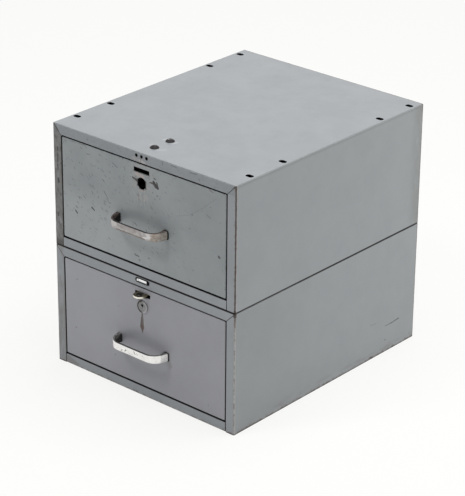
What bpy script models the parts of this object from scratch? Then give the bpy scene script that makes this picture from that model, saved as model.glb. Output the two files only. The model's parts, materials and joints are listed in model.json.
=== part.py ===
"""Two stacked steel drawer units. The lower one has a cam lock, a padlock staple and a nameplate."""

import math

import bmesh
import bpy
from mathutils import Matrix, Vector

# One unit, in metres. Its origin is the middle of its base, with the front towards -Y.
CASE_WIDTH = 0.380
CASE_DEPTH = 0.454
UNIT_HEIGHT = 0.2078

# Sheet metal
SHEET = 0.0012
BEND_INSIDE = 0.0008        # inside radius of each fold
BEND_STEPS = 2
PAN_FLANGE = 0.012          # turned edges of the base pan and the back panel
SEAT = 0.0003               # air between pieces that touch

# Front frame of the case
FRAME_WIDTH = 0.0175
FRAME_LIP = 0.012           # edge turned back round the drawer opening
BOTTOM_RAIL = 0.0166        # height of the frame below the drawer
MITRE_SLIT = 0.0004
RAIL_HOLE = 0.0048          # nameplate holes in the top rail
RAIL_HOLE_PITCH = 0.0105
RAIL_HOLE_DROP = 0.0063     # below the top of the unit

# Bolt slots in the top and the base
SLOT_LENGTH = 0.0135
SLOT_WIDTH = 0.0092
SLOT_WALL_CLEARANCE = 0.0015    # bolt head to the base pan's side flange
SLOT_BOLT_CLEARANCE = 0.0006    # on each side of the bolt's shank
SLOT_FRONT_SETBACK = 0.043
SLOT_FRONT_PITCH = 0.0755
SLOT_REAR_CLEARANCE = 0.010     # slot centre to the back panel's flange
SLOT_REAR_PITCH = 0.077

# Drawer front
DRAWER_GAP = 0.0015         # air beside and above it in the frame
DRAWER_BOTTOM_GAP = 0.002
FRONT_BEHIND_LIP = 0.002    # its back behind the frame's lip
FRONT_RETURN = 0.010        # edge turned in behind the front
HASP_SLOT_LENGTH = 0.0325
HASP_SLOT_HEIGHT = 0.0068
HASP_DROP = 0.0102          # slot centre below the front's top edge
RETURN_CLEARANCE = 0.0013   # slot to the top return edge
LOCK_HOLE = 0.019           # double-D hole, across the round sides
LOCK_HOLE_FLATS = 0.016
LOCK_PITCH = 0.0208         # lock centre below the slot centre

# Drawer tray and its rails
RAIL_CLEARANCE = 0.0025     # rail to the edge of the drawer opening
RAIL_WIDTH = 0.0127
RAIL_HEIGHT = 0.0174
RAIL_RISE = 0.0355          # rail centre above the tray floor
TRAY_RISE = 0.0075          # tray floor above the front's lower edge
TRAY_TOP_CLEARANCE = 0.0178     # tray rim below the lock centre
TRAY_BACK_SPACE = 0.032     # tray to the back of the case
TRAY_RIM = 0.006
TRAY_LIP_CLEARANCE = 0.001      # tray's front flange above the front's lower edge
TRAY_FLANGE_INSET = 0.003       # tray's side flange inside the front's side edge
CORNER_RELIEF = 0.006

# Runners on the case sides
RUNNER_SHEET = 0.0015
RUNNER_TIP_CLEARANCE = 0.002
STOP_SETBACK = 0.0747       # stop tab behind the runner's front end
STOP_HEIGHT = 0.010
STOP_TIP_CLEARANCE = 0.0015

# Bow handle
HANDLE_RISE = 0.0694        # its middle above the front's lower edge
HANDLE_SPAN = 0.112
HANDLE_STANDOFF = 0.027
HANDLE_HEIGHT = 0.0124      # of the grip
HANDLE_FOOT_HEIGHT = 0.0154
HANDLE_SPLAY = 0.0105       # lean of each leg, from bend to foot
HANDLE_BEND = 0.022
GRIP_THICKNESS = 0.004
FOOT_THICKNESS = 0.010
HANDLE_EDGE = 0.0011
HANDLE_SCREW = 0.0035
HANDLE_SCREW_BITE = 0.006
HANDLE_SCREW_HEAD = 0.008
HANDLE_SCREW_HEAD_HEIGHT = 0.0026

# Lock hanger under the top sheet
STRAP = 0.002
STRAP_WIDTH = 0.024
STRAP_END = 0.012           # bolt centre to the strap's end or bend
STRAP_FOOT = 0.026
HANGER_BOLT = 0.006
HANGER_BOLT_SETBACK = 0.029
HANGER_BOLT_PITCH = 0.035
HANGER_HEAD = 0.0148
HANGER_HEAD_HEIGHT = 0.0038
HEAD_CLEARANCE = 0.0016     # round the bolt heads in the base of the unit above
RIVET = 0.004
RIVET_HEAD = 0.007
RIVET_HEAD_HEIGHT = 0.0018
RIVET_PITCH = 0.012

# Padlock staple
STAPLE_THICKNESS = 0.003
STAPLE_SIDE_CLEARANCE = 0.0058
STAPLE_TOP_CLEARANCE = 0.0005
STAPLE_REACH = 0.017        # nose ahead of the drawer front
STAPLE_EYE = 0.0095
NOTCH_CLEARANCE = 0.0025    # before and behind the cam
NOTCH_SIDE_CLEARANCE = 0.001

# Cam lock
LOCK_FACE_OVERHANG = 0.001      # its face beyond the hole
LOCK_FACE_THICKNESS = 0.0016
LOCK_FACE_EDGE = 0.0005
LOCK_STANDBACK = 0.005      # barrel end behind the drawer front's flanges
BARREL_WALL = 0.0015        # between its flats and its bore
PLUG_CLEARANCE = 0.0002
PLUG_RECESS = 0.0004
KEYWAY_WIDTH = 0.0016
KEYWAY_HEIGHT = 0.0075
KEYWAY_DEPTH = 0.006
SHANK_SHOULDER = 0.001      # plug beyond the corners of its square end
CAM_THICKNESS = 0.0025
CAM_WIDTH = 0.012
CAM_HUB = 0.017
CAM_HUB_ROUNDING = 0.9      # corner radius as a share of half the width
CAM_TIP_ROUNDING = 0.5
CAM_OVERLAP = 0.0037        # cam tip above the staple
LOCK_NUT_WALL = 0.0025
LOCK_NUT_THICKNESS = 0.003
CAM_SCREW = 0.0034
CAM_SCREW_HEAD = 0.0095
CAM_SCREW_HEAD_HEIGHT = 0.0025
CAM_SCREW_BITE = 0.006

# Nameplate
NAMEPLATE_HEIGHT = 0.0076
NAMEPLATE_END = 0.0038      # plate beyond each pin
NAMEPLATE_ROUNDING = 0.8    # corner radius as a share of half the height
NAMEPLATE_THICKNESS = 0.0008
PIN_HEAD_OVERHANG = 0.0003
PIN_HEAD_HEIGHT = 0.0008
PIN_TAIL = 0.001            # pin behind the rail

# Nuts, and the bolts that hold the units together
NUT_FLATS = 0.0095
NUT_THICKNESS = 0.0045
BOLT_TAIL = 0.0015          # bolt beyond its nut
STACK_HEAD_BEARING = 0.0024     # bolt head beyond each side of its slot
STACK_HEAD_HEIGHT = 0.003
STACK_NUT_BEARING = 0.0019

ARC_STEPS = 6               # steps in a rounded corner
DOME_STEPS = 3              # steps down a domed head
ROUND_STEPS = 20            # sides of a round piece
HOLE_STEPS = 12             # sides of a small hole or slot
LOCK_STEPS = 32             # sides of the lock hole
CUT_MARGIN = 0.004          # cutters run this far past what they cut
SAME_PLACE = 1e-6           # points nearer than this are one
SAME_WAY = 0.9              # least cosine between directions that count as alike

# Worked out from the sizes above
BEND_RADIUS = SHEET + BEND_INSIDE
FRONT_Y = -CASE_DEPTH / 2
BACK_Y = CASE_DEPTH / 2
INNER_HALF = CASE_WIDTH / 2 - SHEET - SEAT
INNER_TOP = UNIT_HEIGHT - SHEET - SEAT
OPENING_HALF = CASE_WIDTH / 2 - FRAME_WIDTH
OPENING_TOP = UNIT_HEIGHT - FRAME_WIDTH
UPPER_BASE = UNIT_HEIGHT + SEAT
RAIL_HOLE_Z = UNIT_HEIGHT - RAIL_HOLE_DROP

STACK_BOLT = SLOT_WIDTH - 2 * SLOT_BOLT_CLEARANCE
STACK_HEAD = SLOT_WIDTH + 2 * STACK_HEAD_BEARING
STACK_NUT_FLATS = SLOT_WIDTH + 2 * STACK_NUT_BEARING
SLOT_X = INNER_HALF - SHEET - SLOT_WALL_CLEARANCE - STACK_HEAD / 2
SLOT_FRONT_Y = FRONT_Y + SLOT_FRONT_SETBACK
SLOT_REAR_Y = BACK_Y - PAN_FLANGE - SLOT_REAR_CLEARANCE
SLOT_ROWS = (SLOT_FRONT_Y, SLOT_FRONT_Y + SLOT_FRONT_PITCH, SLOT_REAR_Y - SLOT_REAR_PITCH, SLOT_REAR_Y)
HANGER_ROWS = (FRONT_Y + HANGER_BOLT_SETBACK, FRONT_Y + HANGER_BOLT_SETBACK + HANGER_BOLT_PITCH)

FRONT_HALF = OPENING_HALF - DRAWER_GAP
FRONT_BOTTOM = BOTTOM_RAIL + DRAWER_BOTTOM_GAP
FRONT_TOP = OPENING_TOP - DRAWER_GAP
FRONT_BACK_Y = FRONT_Y + FRAME_LIP + FRONT_BEHIND_LIP
TOP_RETURN = HASP_DROP - HASP_SLOT_HEIGHT / 2 - RETURN_CLEARANCE
HASP_Z = FRONT_TOP - HASP_DROP
LOCK_Z = HASP_Z - LOCK_PITCH
HANDLE_Z = FRONT_BOTTOM + HANDLE_RISE

TRAY_HALF = OPENING_HALF - RAIL_CLEARANCE - RAIL_WIDTH - SEAT
TRAY_SIDE_FLANGE = FRONT_HALF - TRAY_FLANGE_INSET - TRAY_HALF
TRAY_FRONT_Y = FRONT_BACK_Y + SEAT
TRAY_BACK_Y = BACK_Y - TRAY_BACK_SPACE
TRAY_FLOOR = FRONT_BOTTOM + TRAY_RISE
TRAY_LIP = TRAY_RISE - TRAY_LIP_CLEARANCE
TRAY_TOP = LOCK_Z - TRAY_TOP_CLEARANCE
RAIL_Z = TRAY_FLOOR + RAIL_RISE
RAIL_INNER_X = TRAY_HALF + SEAT
SLIDE_FRONT_Y = TRAY_FRONT_Y + SHEET + SEAT
RAIL_FRONT_Y = SLIDE_FRONT_Y + BEND_RADIUS
RUNNER_INNER_X = RAIL_INNER_X + SHEET + RUNNER_TIP_CLEARANCE
RUNNER_HEIGHT = RAIL_HEIGHT + 2 * SEAT + 2 * RUNNER_SHEET
RUNNER_BACK_Y = BACK_Y - PAN_FLANGE - SEAT
STOP_Y = SLIDE_FRONT_Y + STOP_SETBACK
DRAWER_TRAVEL = TRAY_BACK_Y - SHEET - SEAT - STOP_Y

STAPLE_WIDTH = HASP_SLOT_LENGTH - 2 * STAPLE_SIDE_CLEARANCE
STAPLE_TOP = HASP_Z + HASP_SLOT_HEIGHT / 2 - STAPLE_TOP_CLEARANCE
STRAP_WEB_Y = HANGER_ROWS[1] + STRAP_END
STRAP_FOOT_TOP = STAPLE_TOP + SEAT + STRAP
STRAP_BACK_Y = STRAP_WEB_Y + STRAP_FOOT
RIVET_Y = STRAP_WEB_Y + STRAP_FOOT / 2

LOCK_FACE = LOCK_HOLE + 2 * LOCK_FACE_OVERHANG
LOCK_BORE = LOCK_HOLE_FLATS - 2 * (SEAT + BARREL_WALL)
LOCK_NUT_FLATS = LOCK_HOLE + 2 * LOCK_NUT_WALL
PLUG = LOCK_BORE - 2 * PLUG_CLEARANCE
SHANK = (PLUG - 2 * SHANK_SHOULDER) / math.sqrt(2)
BARREL_BACK_Y = FRONT_BACK_Y + LOCK_STANDBACK
CAM_Y = BARREL_BACK_Y + SEAT + CAM_THICKNESS / 2
CAM_LENGTH = STAPLE_TOP - LOCK_Z + CAM_OVERLAP
NAMEPLATE_HALF = RAIL_HOLE_PITCH + NAMEPLATE_END
PIN_HEAD = RAIL_HOLE + 2 * PIN_HEAD_OVERHANG
SCREW_LEAN = HANDLE_SPLAY * HANDLE_SCREW_BITE / HANDLE_STANDOFF     # of the leg, over the screw's length
HANDLE_SCREW_X = (HANDLE_SPAN - FOOT_THICKNESS - SCREW_LEAN) / 2

LEFT = -1
RIGHT = 1
SIDES = (("left", LEFT), ("right", RIGHT))
ALONG_Y = Matrix.Rotation(-math.pi / 2, 4, "X")
ALONG_Z = Matrix.Identity(4)
FACING_FRONT = (math.pi / 2, 0, 0)     # turns a piece's own +Z to -Y
FACING_BACK = (-math.pi / 2, 0, 0)


def clear_scene():
    for obj in list(bpy.data.objects):
        bpy.data.objects.remove(obj)


def new_collection(name):
    made = bpy.data.collections.new(name)
    bpy.context.scene.collection.children.link(made)
    return made


def new_material(name, colour, roughness, metallic):
    made = bpy.data.materials.new(name)
    made.use_nodes = True
    shader = made.node_tree.nodes["Principled BSDF"]
    shader.inputs["Base Color"].default_value = (*colour, 1)
    shader.inputs["Roughness"].default_value = roughness
    shader.inputs["Metallic"].default_value = metallic
    return made


clear_scene()
PARTS = new_collection("drawer_unit")
CUTTERS = new_collection("cutters")
PAINT = new_material("grey_enamel", (0.36, 0.38, 0.40), 0.45, 0.0)
DRAWER_PAINT = new_material("drawer_enamel", (0.29, 0.31, 0.315), 0.45, 0.0)
INNER_STEEL = new_material("inner_steel", (0.42, 0.43, 0.44), 0.5, 0.8)
CAST_METAL = new_material("cast_aluminium", (0.75, 0.75, 0.74), 0.35, 1.0)
DARK_STEEL = new_material("dark_steel", (0.06, 0.06, 0.065), 0.5, 0.7)
ZINC = new_material("zinc_steel", (0.50, 0.50, 0.51), 0.4, 0.9)
BRASS = new_material("old_brass", (0.42, 0.38, 0.27), 0.45, 0.9)


def new_empty(name, parent, location):
    made = bpy.data.objects.new(name, None)
    PARTS.objects.link(made)
    made.empty_display_size = SLOT_LENGTH
    made.parent = parent
    made.location = location
    return made


def mesh_of(shape, name):
    mesh = bpy.data.meshes.new(name)
    shape.to_mesh(mesh)
    shape.free()
    return mesh


def add_piece(name, mesh, material, parent, location=(0, 0, 0), rotation=(0, 0, 0)):
    piece = bpy.data.objects.new(name, mesh)
    PARTS.objects.link(piece)
    piece.parent = parent
    piece.location = location
    piece.rotation_euler = rotation
    if not mesh.materials:
        mesh.materials.append(material)
    return piece


def add_cutter(name, shape, parent):
    """A hidden solid, given in the same space as the piece that it cuts."""
    cutter = bpy.data.objects.new(name, mesh_of(shape, name))
    CUTTERS.objects.link(cutter)
    cutter.parent = parent
    cutter.hide_render = True
    cutter.display_type = "WIRE"
    return cutter


def combine(piece, cutter, operation="DIFFERENCE"):
    modifier = piece.modifiers.new(cutter.name, "BOOLEAN")
    modifier.operation = operation
    modifier.solver = "EXACT"
    modifier.object = cutter


def box_shape(low, high):
    """A box between two corners."""
    low, high = Vector(low), Vector(high)
    shape = bmesh.new()
    bmesh.ops.create_cube(shape, size=1)
    bmesh.ops.scale(shape, vec=high - low, verts=shape.verts)
    bmesh.ops.translate(shape, vec=(low + high) / 2, verts=shape.verts)
    shape.normal_update()
    return shape


def faces_towards(shape, *directions):
    return [f for f in shape.faces if any(f.normal.dot(Vector(d)) > SAME_WAY for d in directions)]


def open_sides(shape, *directions):
    bmesh.ops.delete(shape, geom=faces_towards(shape, *directions), context="FACES_ONLY")


def fold_edges(shape, chosen, offset):
    """Pulls a strip out of the open edges whose middle is chosen."""
    middles = {e: (e.verts[0].co + e.verts[1].co) / 2 for e in shape.edges if e.is_boundary}
    made = bmesh.ops.extrude_edge_only(shape, edges=[e for e in middles if chosen(middles[e])])
    moved = [part for part in made["geom"] if isinstance(part, bmesh.types.BMVert)]
    bmesh.ops.translate(shape, vec=Vector(offset), verts=moved)


def split_at(shape, place):
    """Cuts every face where it crosses the X, Y and Z of a place."""
    for axis in range(3):
        point = [0, 0, 0]
        point[axis] = place[axis]
        normal = [float(axis == other) for other in range(3)]
        geometry = shape.verts[:] + shape.edges[:] + shape.faces[:]
        bmesh.ops.bisect_plane(shape, geom=geometry, plane_co=point, plane_no=normal)


def close(a, b):
    return abs(a - b) < SAME_PLACE


def add_sheet(name, shape, facing, material, parent, thickness=SHEET):
    """A folded sheet. The shape is its outer skin, and facing is the way that its main face looks."""
    facing = Vector(facing)
    bmesh.ops.recalc_face_normals(shape, faces=shape.faces)
    across = [f for f in shape.faces if abs(f.normal.dot(facing)) > SAME_WAY]
    outermost = max(across, key=lambda f: f.calc_center_median().dot(facing))
    if outermost.normal.dot(facing) < 0:
        bmesh.ops.reverse_faces(shape, faces=shape.faces)
    piece = add_piece(name, mesh_of(shape, name), material, parent)
    bend = piece.modifiers.new("bend", "BEVEL")
    bend.width = thickness + BEND_INSIDE
    bend.segments = BEND_STEPS
    bend.limit_method = "ANGLE"
    wall = piece.modifiers.new("wall", "SOLIDIFY")
    wall.thickness = thickness
    wall.offset = -1
    wall.use_even_offset = True
    wall.use_quality_normals = True
    return piece


def peg_shape(centres, diameter, length, axis=ALONG_Z, stretch=0.0, flats=None, steps=ROUND_STEPS):
    """Round pegs. A stretch along X makes them slots, and flats cut them to a double D."""
    shape = bmesh.new()
    half_step = Matrix.Rotation(math.pi / steps, 4, "Z")
    for centre in centres:
        centre = Vector(centre)
        made = bmesh.ops.create_cone(
            shape, cap_ends=True, segments=steps, radius1=diameter / 2, radius2=diameter / 2,
            depth=length, matrix=Matrix.Translation(centre) @ axis @ half_step)
        for corner in made["verts"]:
            offset = corner.co.x - centre.x
            if flats:
                corner.co.x = centre.x + max(-flats / 2, min(flats / 2, offset))
            corner.co.x += math.copysign(stretch, offset)
    return shape


def rounded(corners):
    """A closed outline of (x, y, radius) corners, with each corner an arc."""
    points = []
    for i, (x, y, radius) in enumerate(corners):
        here = Vector((x, y))
        before = (Vector(corners[i - 1][:2]) - here).normalized()
        after = (Vector(corners[(i + 1) % len(corners)][:2]) - here).normalized()
        if not radius:
            points.append(here)
            continue
        half = before.angle(after) / 2
        middle = here + (before + after).normalized() * radius / math.sin(half)
        first = here + before * radius / math.tan(half) - middle
        turn = math.copysign(math.pi - 2 * half, -before.cross(after))
        for step in range(ARC_STEPS + 1):
            points.append(middle + Matrix.Rotation(turn * step / ARC_STEPS, 2) @ first)
    return [point for i, point in enumerate(points) if (point - points[i - 1]).length > SAME_PLACE]


def circle(centre, diameter, steps=ROUND_STEPS):
    turns = [2 * math.pi * (step + 0.5) / steps for step in range(steps)]
    return [Vector(centre) + Vector((math.cos(t), math.sin(t))) * diameter / 2 for t in turns]


def square(width):
    half = width / 2
    return [Vector(c) for c in ((-half, -half), (half, -half), (half, half), (-half, half))]


def plate_mesh(name, outlines, thickness):
    """A flat plate from its outline, with a hole for each further outline inside the first."""
    drawing = bpy.data.curves.new(name, "CURVE")
    drawing.dimensions = "2D"
    drawing.fill_mode = "BOTH"
    drawing.extrude = thickness / 2
    for outline in outlines:
        spline = drawing.splines.new("POLY")
        spline.points.add(len(outline) - 1)
        spline.use_cyclic_u = True
        for point, place in zip(spline.points, outline):
            point.co = (place.x, place.y, 0, 1)
    flat = bpy.data.objects.new(name, drawing)
    CUTTERS.objects.link(flat)
    graph = bpy.context.evaluated_depsgraph_get()
    mesh = bpy.data.meshes.new_from_object(flat.evaluated_get(graph))
    bpy.data.objects.remove(flat)
    shape = bmesh.new()
    shape.from_mesh(mesh)
    bmesh.ops.remove_doubles(shape, verts=shape.verts, dist=SAME_PLACE)
    bmesh.ops.recalc_face_normals(shape, faces=shape.faces)
    shape.to_mesh(mesh)
    shape.free()
    return mesh


def add_turned(name, profile, material, parent, location, rotation=(0, 0, 0), ring=False):
    """A piece turned about its own Z, from a profile of (radius, height) that runs down its outer side."""
    mesh = bpy.data.meshes.new(name)
    edges = [(i, i + 1) for i in range(len(profile) - 1)]
    if ring:
        edges.append((len(profile) - 1, 0))
    mesh.from_pydata([(radius, 0, height) for radius, height in profile], edges, [])
    piece = add_piece(name, mesh, material, parent, location, rotation)
    turn = piece.modifiers.new("turn", "SCREW")
    turn.steps = ROUND_STEPS
    turn.render_steps = ROUND_STEPS
    turn.use_merge_vertices = True
    turn.merge_threshold = SAME_PLACE
    return piece


def dome(diameter, height):
    """Points (radius, height) from the top of a low round dome down to its rim at height 0."""
    ball = (diameter ** 2 / 4 + height ** 2) / (2 * height)
    rim = math.asin(diameter / 2 / ball)
    turns = [rim * step / DOME_STEPS for step in range(DOME_STEPS + 1)]
    return [(ball * math.sin(turn), height - ball * (1 - math.cos(turn))) for turn in turns]


def domed_bolt(head, head_height, shank, length):
    """Profile of a bolt whose low dome stands on height 0, with its shank below."""
    return dome(head, head_height) + [(shank / 2, 0), (shank / 2, -length), (0, -length)]


def domed_rivet(head, head_height, shank, grip):
    """Profile of a rivet with a like dome at each end of its grip."""
    top = dome(head, head_height)
    tail = [(radius, -grip - height) for radius, height in reversed(top)]
    return top + [(shank / 2, 0), (shank / 2, -grip)] + tail


def hex_nut_mesh(name, across_flats, hole, thickness):
    hexagon = circle((0, 0), across_flats / math.cos(math.pi / 6), 6)
    return plate_mesh(name, [hexagon, circle((0, 0), hole)], thickness)


def slot_pegs(height, length):
    """What cuts the bolt slots, in both rows along the sides."""
    centres = [(side * SLOT_X, y, height) for y in SLOT_ROWS for _, side in SIDES]
    return peg_shape(
        centres, SLOT_WIDTH, length, stretch=(SLOT_LENGTH - SLOT_WIDTH) / 2, steps=HOLE_STEPS)


def add_case_shell(prefix, unit):
    shape = box_shape((-CASE_WIDTH / 2, FRONT_Y, 0), (CASE_WIDTH / 2, BACK_Y, UNIT_HEIGHT))
    front = faces_towards(shape, (0, -1, 0))
    bmesh.ops.inset_region(shape, faces=front, thickness=FRAME_WIDTH, use_even_offset=True)
    low_rail = [f for f in faces_towards(shape, (0, -1, 0)) if f.calc_center_median().z < FRAME_WIDTH]
    bmesh.ops.delete(shape, geom=front + low_rail, context="FACES_ONLY")
    open_sides(shape, (0, 0, -1), (0, 1, 0))
    for corner in shape.verts:
        if close(abs(corner.co.x), OPENING_HALF) and close(corner.co.z, FRAME_WIDTH):
            corner.co.z = 0
    fold_edges(
        shape, lambda middle: close(middle.y, FRONT_Y) and abs(middle.x) < OPENING_HALF + SEAT
        and middle.z > SEAT, (0, FRAME_LIP, 0))
    name = prefix + "case_shell"
    shell = add_sheet(name, shape, (0, -1, 0), PAINT, unit)
    depth = SHEET + 2 * CUT_MARGIN
    combine(shell, add_cutter(name + "_slots", slot_pegs(UNIT_HEIGHT, depth), unit))
    bolt_holes = [(0, y, UNIT_HEIGHT) for y in HANGER_ROWS]
    combine(shell, add_cutter(
        name + "_bolt_holes", peg_shape(bolt_holes, HANGER_BOLT + 2 * SEAT, depth), unit))
    plate_holes = [(step * RAIL_HOLE_PITCH, FRONT_Y, RAIL_HOLE_Z) for step in (-1, 0, 1)]
    combine(shell, add_cutter(
        name + "_rail_holes", peg_shape(plate_holes, RAIL_HOLE, depth, ALONG_Y, steps=HOLE_STEPS), unit))
    combine(shell, add_cutter(name + "_mitres", mitre_slits(), unit))


def mitre_slits():
    """Thin blades along the mitre of the front frame, from the fold at each top corner to the opening."""
    shape = bmesh.new()
    reach = FRAME_WIDTH - BEND_RADIUS + CUT_MARGIN
    inset = BEND_RADIUS + reach / 2
    for _, side in SIDES:
        blade = (
            Matrix.Translation((side * (CASE_WIDTH / 2 - inset), FRONT_Y, UNIT_HEIGHT - inset))
            @ Matrix.Rotation(-side * math.pi / 4, 4, "Y")
            @ Matrix.Diagonal((reach * math.sqrt(2), 2 * (FRAME_LIP + CUT_MARGIN), MITRE_SLIT, 1)))
        bmesh.ops.create_cube(shape, size=1, matrix=blade)
    return shape


def add_base_pan(prefix, unit):
    front_y = FRONT_Y + FRAME_LIP + SEAT
    shape = box_shape((-INNER_HALF, front_y, 0), (INNER_HALF, BACK_Y, PAN_FLANGE))
    open_sides(shape, (0, 0, 1))
    name = prefix + "base_pan"
    pan = add_sheet(name, shape, (0, 0, -1), PAINT, unit)
    depth = SHEET + CUT_MARGIN
    combine(pan, add_cutter(name + "_slots", slot_pegs(0, depth), unit))
    heads = [(0, y, 0) for y in HANGER_ROWS]
    combine(pan, add_cutter(
        name + "_head_holes", peg_shape(heads, HANGER_HEAD + 2 * HEAD_CLEARANCE, depth), unit))


def add_bottom_rail(prefix, unit):
    half = OPENING_HALF - SEAT
    shape = box_shape((-half, FRONT_Y, 0), (half, FRONT_Y + FRAME_LIP, BOTTOM_RAIL))
    open_sides(shape, (0, 1, 0), (1, 0, 0), (-1, 0, 0))
    add_sheet(prefix + "bottom_rail", shape, (0, -1, 0), PAINT, unit)


def add_back_panel(prefix, unit):
    shape = box_shape(
        (-INNER_HALF, BACK_Y - PAN_FLANGE, PAN_FLANGE + SEAT), (INNER_HALF, BACK_Y, INNER_TOP))
    open_sides(shape, (0, -1, 0))
    add_sheet(prefix + "back_panel", shape, (0, 1, 0), PAINT, unit)


def add_runner(prefix, unit, side_name, side):
    """A channel on the case side, open to the drawer, with a stop tab lanced from its web."""
    name = prefix + "runner_" + side_name
    half_height = RUNNER_HEIGHT / 2
    low_x, high_x = sorted((side * RUNNER_INNER_X, side * INNER_HALF))
    shape = box_shape(
        (low_x, SLIDE_FRONT_Y, RAIL_Z - half_height), (high_x, RUNNER_BACK_Y, RAIL_Z + half_height))
    open_sides(shape, (-side, 0, 0), (0, 1, 0), (0, -1, 0))
    runner = add_sheet(name, shape, (side, 0, 0), INNER_STEEL, unit, RUNNER_SHEET)
    tip = RAIL_INNER_X + SHEET + STOP_TIP_CLEARANCE
    web = INNER_HALF - RUNNER_SHEET / 2
    low_z = RAIL_Z - STOP_HEIGHT / 2
    high_z = RAIL_Z + STOP_HEIGHT / 2
    low_x, high_x = sorted((side * (web - RUNNER_SHEET), side * (INNER_HALF + SEAT / 2)))
    window = box_shape((low_x, STOP_Y, low_z), (high_x, STOP_Y + web - tip, high_z))
    combine(runner, add_cutter(name + "_window", window, unit))
    low_x, high_x = sorted((side * tip, side * web))
    tab = box_shape((low_x, STOP_Y - RUNNER_SHEET, low_z), (high_x, STOP_Y, high_z))
    combine(runner, add_cutter(name + "_tab", tab, unit), "UNION")


def add_drawer_front(prefix, drawer):
    shape = box_shape((-FRONT_HALF, FRONT_Y, FRONT_BOTTOM), (FRONT_HALF, FRONT_BACK_Y, FRONT_TOP))
    back = faces_towards(shape, (0, 1, 0))
    bmesh.ops.inset_region(shape, faces=back, thickness=FRONT_RETURN, use_even_offset=True)
    bmesh.ops.delete(shape, geom=back, context="FACES_ONLY")
    for corner in shape.verts:
        if close(corner.co.z, FRONT_TOP - FRONT_RETURN):
            corner.co.z = FRONT_TOP - TOP_RETURN
    name = prefix + "drawer_front"
    front = add_sheet(name, shape, (0, -1, 0), DRAWER_PAINT, drawer)
    depth = SHEET + 2 * CUT_MARGIN
    hasp = box_shape(
        (-HASP_SLOT_LENGTH / 2, FRONT_Y - CUT_MARGIN, HASP_Z - HASP_SLOT_HEIGHT / 2),
        (HASP_SLOT_LENGTH / 2, FRONT_Y + CUT_MARGIN, HASP_Z + HASP_SLOT_HEIGHT / 2))
    combine(front, add_cutter(name + "_hasp_slot", hasp, drawer))
    lock = peg_shape(
        [(0, FRONT_Y, LOCK_Z)], LOCK_HOLE, depth, ALONG_Y, flats=LOCK_HOLE_FLATS, steps=LOCK_STEPS)
    combine(front, add_cutter(name + "_lock_hole", lock, drawer))
    combine(front, add_cutter(name + "_screw_holes", handle_screw_pegs(depth), drawer))


def handle_screw_pegs(length):
    """What cuts the holes for the handle's screws, through the drawer front and into the feet."""
    centres = [(side * HANDLE_SCREW_X, FRONT_Y, HANDLE_Z) for _, side in SIDES]
    return peg_shape(centres, HANDLE_SCREW + 2 * SEAT, length, ALONG_Y, steps=HOLE_STEPS)


def add_drawer_tray(prefix, drawer):
    """Floor, sides and back from one sheet, with flanges that meet the drawer front and a turned-out rim.

    The flanges stop short of the corners, which leaves the relief notches that a folded sheet has.
    """
    edge_y = TRAY_FRONT_Y + SHEET
    edge_z = TRAY_TOP - SHEET
    shape = box_shape((-TRAY_HALF, edge_y, TRAY_FLOOR), (TRAY_HALF, TRAY_BACK_Y, edge_z))
    open_sides(shape, (0, 0, 1), (0, -1, 0))
    lows = (-TRAY_HALF + CORNER_RELIEF, edge_y + CORNER_RELIEF, TRAY_FLOOR + CORNER_RELIEF)
    highs = (TRAY_HALF - CORNER_RELIEF, TRAY_BACK_Y - CORNER_RELIEF, edge_z - CORNER_RELIEF)
    split_at(shape, lows)
    split_at(shape, highs)
    for _, side in SIDES:
        fold_edges(
            shape, lambda middle: close(middle.y, edge_y) and close(middle.x, side * TRAY_HALF)
            and lows[2] < middle.z < highs[2], (side * TRAY_SIDE_FLANGE, 0, 0))
        fold_edges(
            shape, lambda middle: close(middle.z, edge_z) and close(middle.x, side * TRAY_HALF)
            and lows[1] < middle.y < highs[1], (side * TRAY_RIM, 0, 0))
    fold_edges(
        shape, lambda middle: close(middle.z, edge_z) and close(middle.y, TRAY_BACK_Y)
        and lows[0] < middle.x < highs[0], (0, TRAY_RIM, 0))
    fold_edges(
        shape, lambda middle: close(middle.z, TRAY_FLOOR) and close(middle.y, edge_y)
        and lows[0] < middle.x < highs[0], (0, 0, -TRAY_LIP))
    add_sheet(prefix + "drawer_tray", shape, (0, 0, -1), DRAWER_PAINT, drawer)


def add_drawer_rail(prefix, drawer, side_name, side):
    """A channel on the tray side that nests in the runner, closed behind by its stop."""
    half_height = RAIL_HEIGHT / 2
    low_x, high_x = sorted((side * RAIL_INNER_X, side * (RAIL_INNER_X + RAIL_WIDTH)))
    shape = box_shape(
        (low_x, RAIL_FRONT_Y, RAIL_Z - half_height), (high_x, TRAY_BACK_Y, RAIL_Z + half_height))
    open_sides(shape, (side, 0, 0), (0, -1, 0))
    add_sheet(prefix + "drawer_rail_" + side_name, shape, (-side, 0, 0), INNER_STEEL, drawer)


def handle_outline():
    """The bow seen from above: feet at height 0, grip towards -Y."""
    foot = HANDLE_SPAN / 2
    knee = foot - HANDLE_SPLAY
    inner_foot = foot - FOOT_THICKNESS
    inner_knee = knee - GRIP_THICKNESS
    inside = HANDLE_STANDOFF - GRIP_THICKNESS
    inner_bend = HANDLE_BEND - GRIP_THICKNESS
    return rounded([
        (-foot, 0, 0), (-knee, -HANDLE_STANDOFF, HANDLE_BEND), (knee, -HANDLE_STANDOFF, HANDLE_BEND),
        (foot, 0, 0), (inner_foot, 0, 0), (inner_knee, -inside, inner_bend),
        (-inner_knee, -inside, inner_bend), (-inner_foot, 0, 0)])


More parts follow.
